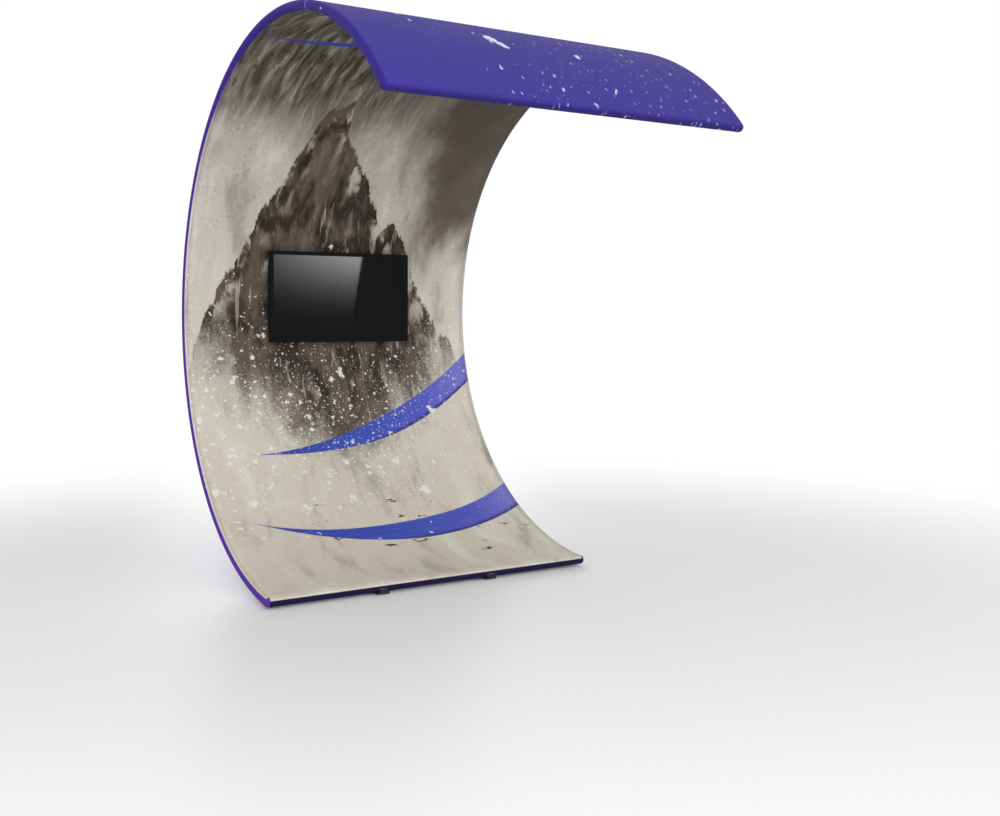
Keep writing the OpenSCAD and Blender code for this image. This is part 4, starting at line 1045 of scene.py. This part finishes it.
# %% Finishes of the hard parts
def hard(name, dark, light, rough, grain, depth, section=None, **sockets):
    """A hard finish: two tones mixed by handling, a span of roughness, and a grain of given depth.
    Where a section is given, fine lines that depend only on it take the place of the grain."""
    made, tree, shader = material(name, **sockets)
    spot = in_metres(tree)
    marks = use(handling, place=spot, grain=grain)
    tone = blend(scaled(marks["Grain"], 0.4, times(marks["Cloud"], 0.6)), dark, light)
    worn = scaled(marks["Cloud"], rough[1] - rough[0], rough[0])
    feed(shader, {"Base Color": tone,
                  "Roughness": scaled(marks["Scratch"], 0.12, worn, clamp=True)})
    if section:
        height = noise(section(*split(spot)), 2600.0, 2.0)
    else:
        height = scaled(marks["Scratch"], -0.4, marks["Grain"])
    raise_surface(shader, height, depth)
    return made


# %% Moulded, coated and plated parts
finishes = {
    "moulded_fitting": hard("moulded_black", (17, 17, 19), (34, 34, 37), (0.48, 0.62), 1500.0,
                            0.00006, specular_ior_level=0.35),
    "steel": hard("zinc_steel", (132, 134, 138), (190, 192, 194), (0.24, 0.44), 500.0, 0.00002,
                  metallic=1.0),
    "coated_steel": hard("powder_coat", (20, 20, 22), (36, 36, 39), (0.36, 0.5), 420.0, 0.00008),
    "rubber": hard("rubber", (18, 18, 19), (38, 38, 39), (0.7, 0.88), 900.0, 0.00008),
    "housing": hard("screen_housing", (8, 9, 9), (15, 16, 16), (0.34, 0.46), 1800.0, 0.00003,
                    specular_ior_level=0.1),
    "key": hard("power_key", (26, 26, 28), (40, 40, 43), (0.4, 0.5), 1200.0, 0.00004),
    "panel": hard("panel_layer", (104, 106, 110), (138, 140, 144), (0.4, 0.55), 700.0, 0.00002),
}

# %% Glass
# Glass over a dark panel: near-black, glossy, with the faint smears of a wiped screen
finishes["screen_front"], tree, shader = material("screen_glass", coat_weight=0.4, ior=1.5)
wiped = noise(mapped(in_metres(tree), (9, 1, 2.2), turn=(0, 0.6, 0)), 1.0, 4.0, 0.6, 0.8)
feed(shader, {"Roughness": scaled(step(wiped, 0.45, 0.7), 0.03, 0.02),
              "Base Color": blend(wiped, (18, 20, 19), (23, 25, 24))})


# %% Tube
# Satin metal with fine lines along it, which depend only on where a point lies in the tube's
# section. In a hoop's section that is how far it lies from the curve's centre
def hoop_section(x, y, z):
    level = node("CombineXYZ", {"Y": y, "Z": z}).outputs[0]
    return combined(x, vector_calc("DISTANCE", level, (0, CENTRE.y, CENTRE.z))["Value"])


for name, section in (("hoop_tube", hoop_section), ("bar_tube", lambda x, y, z: combined(y, z)),
                      ("leg_tube", lambda x, y, z: combined(x, y))):
    finishes[name] = hard(name, (176, 178, 182), (206, 207, 210), (0.26, 0.40), 700.0, 0.00002,
                          section, metallic=1.0)
print(sorted(finishes))

# %% Give each solid its finish
for name, solid in nodes.items():
    slot = solid.data.materials[0].name
    if slot == "tube":
        slot = "hoop_tube" if "hoop" in name or name == "centre_mast" else (
            "leg_tube" if name.startswith("leg_") else "bar_tube")
    if slot in finishes:
        solid.material_slots[0].material = finishes[slot]
print(len(nodes), "solids,", len(finishes), "finishes")

# %% [markdown]
# ## Leaf springs
# Behind each snap button sits a bent leaf spring. The eleven springs are one solid that can't bend,
# so each is copied out as a piece of its own.


# %% Leaf springs
def leaf_spring(press):
    """Copies one spring from the solid as a piece of its own."""
    middle = middle_of(press["child"])
    bm = bmesh.new()
    bm.from_mesh(nodes["snap_springs"].data)
    bmesh.ops.remove_doubles(bm, verts=bm.verts[:], dist=1e-6)
    others = [v for v in bm.verts if (v.co - middle).length > 0.1]
    bmesh.ops.delete(bm, geom=others, context="VERTS")
    made = as_object(bm, "spring_" + press["child"])
    made.data.materials.append(finishes["steel"])
    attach(made, "frame")
    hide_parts("snap_springs")
    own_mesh(made)


presses = [joint for joint in frame["joints"]
           if "_button" in joint["child"] and joint["child"] != "power_button"]
for press in presses:
    leaf_spring(press)
print(len(presses), "springs")
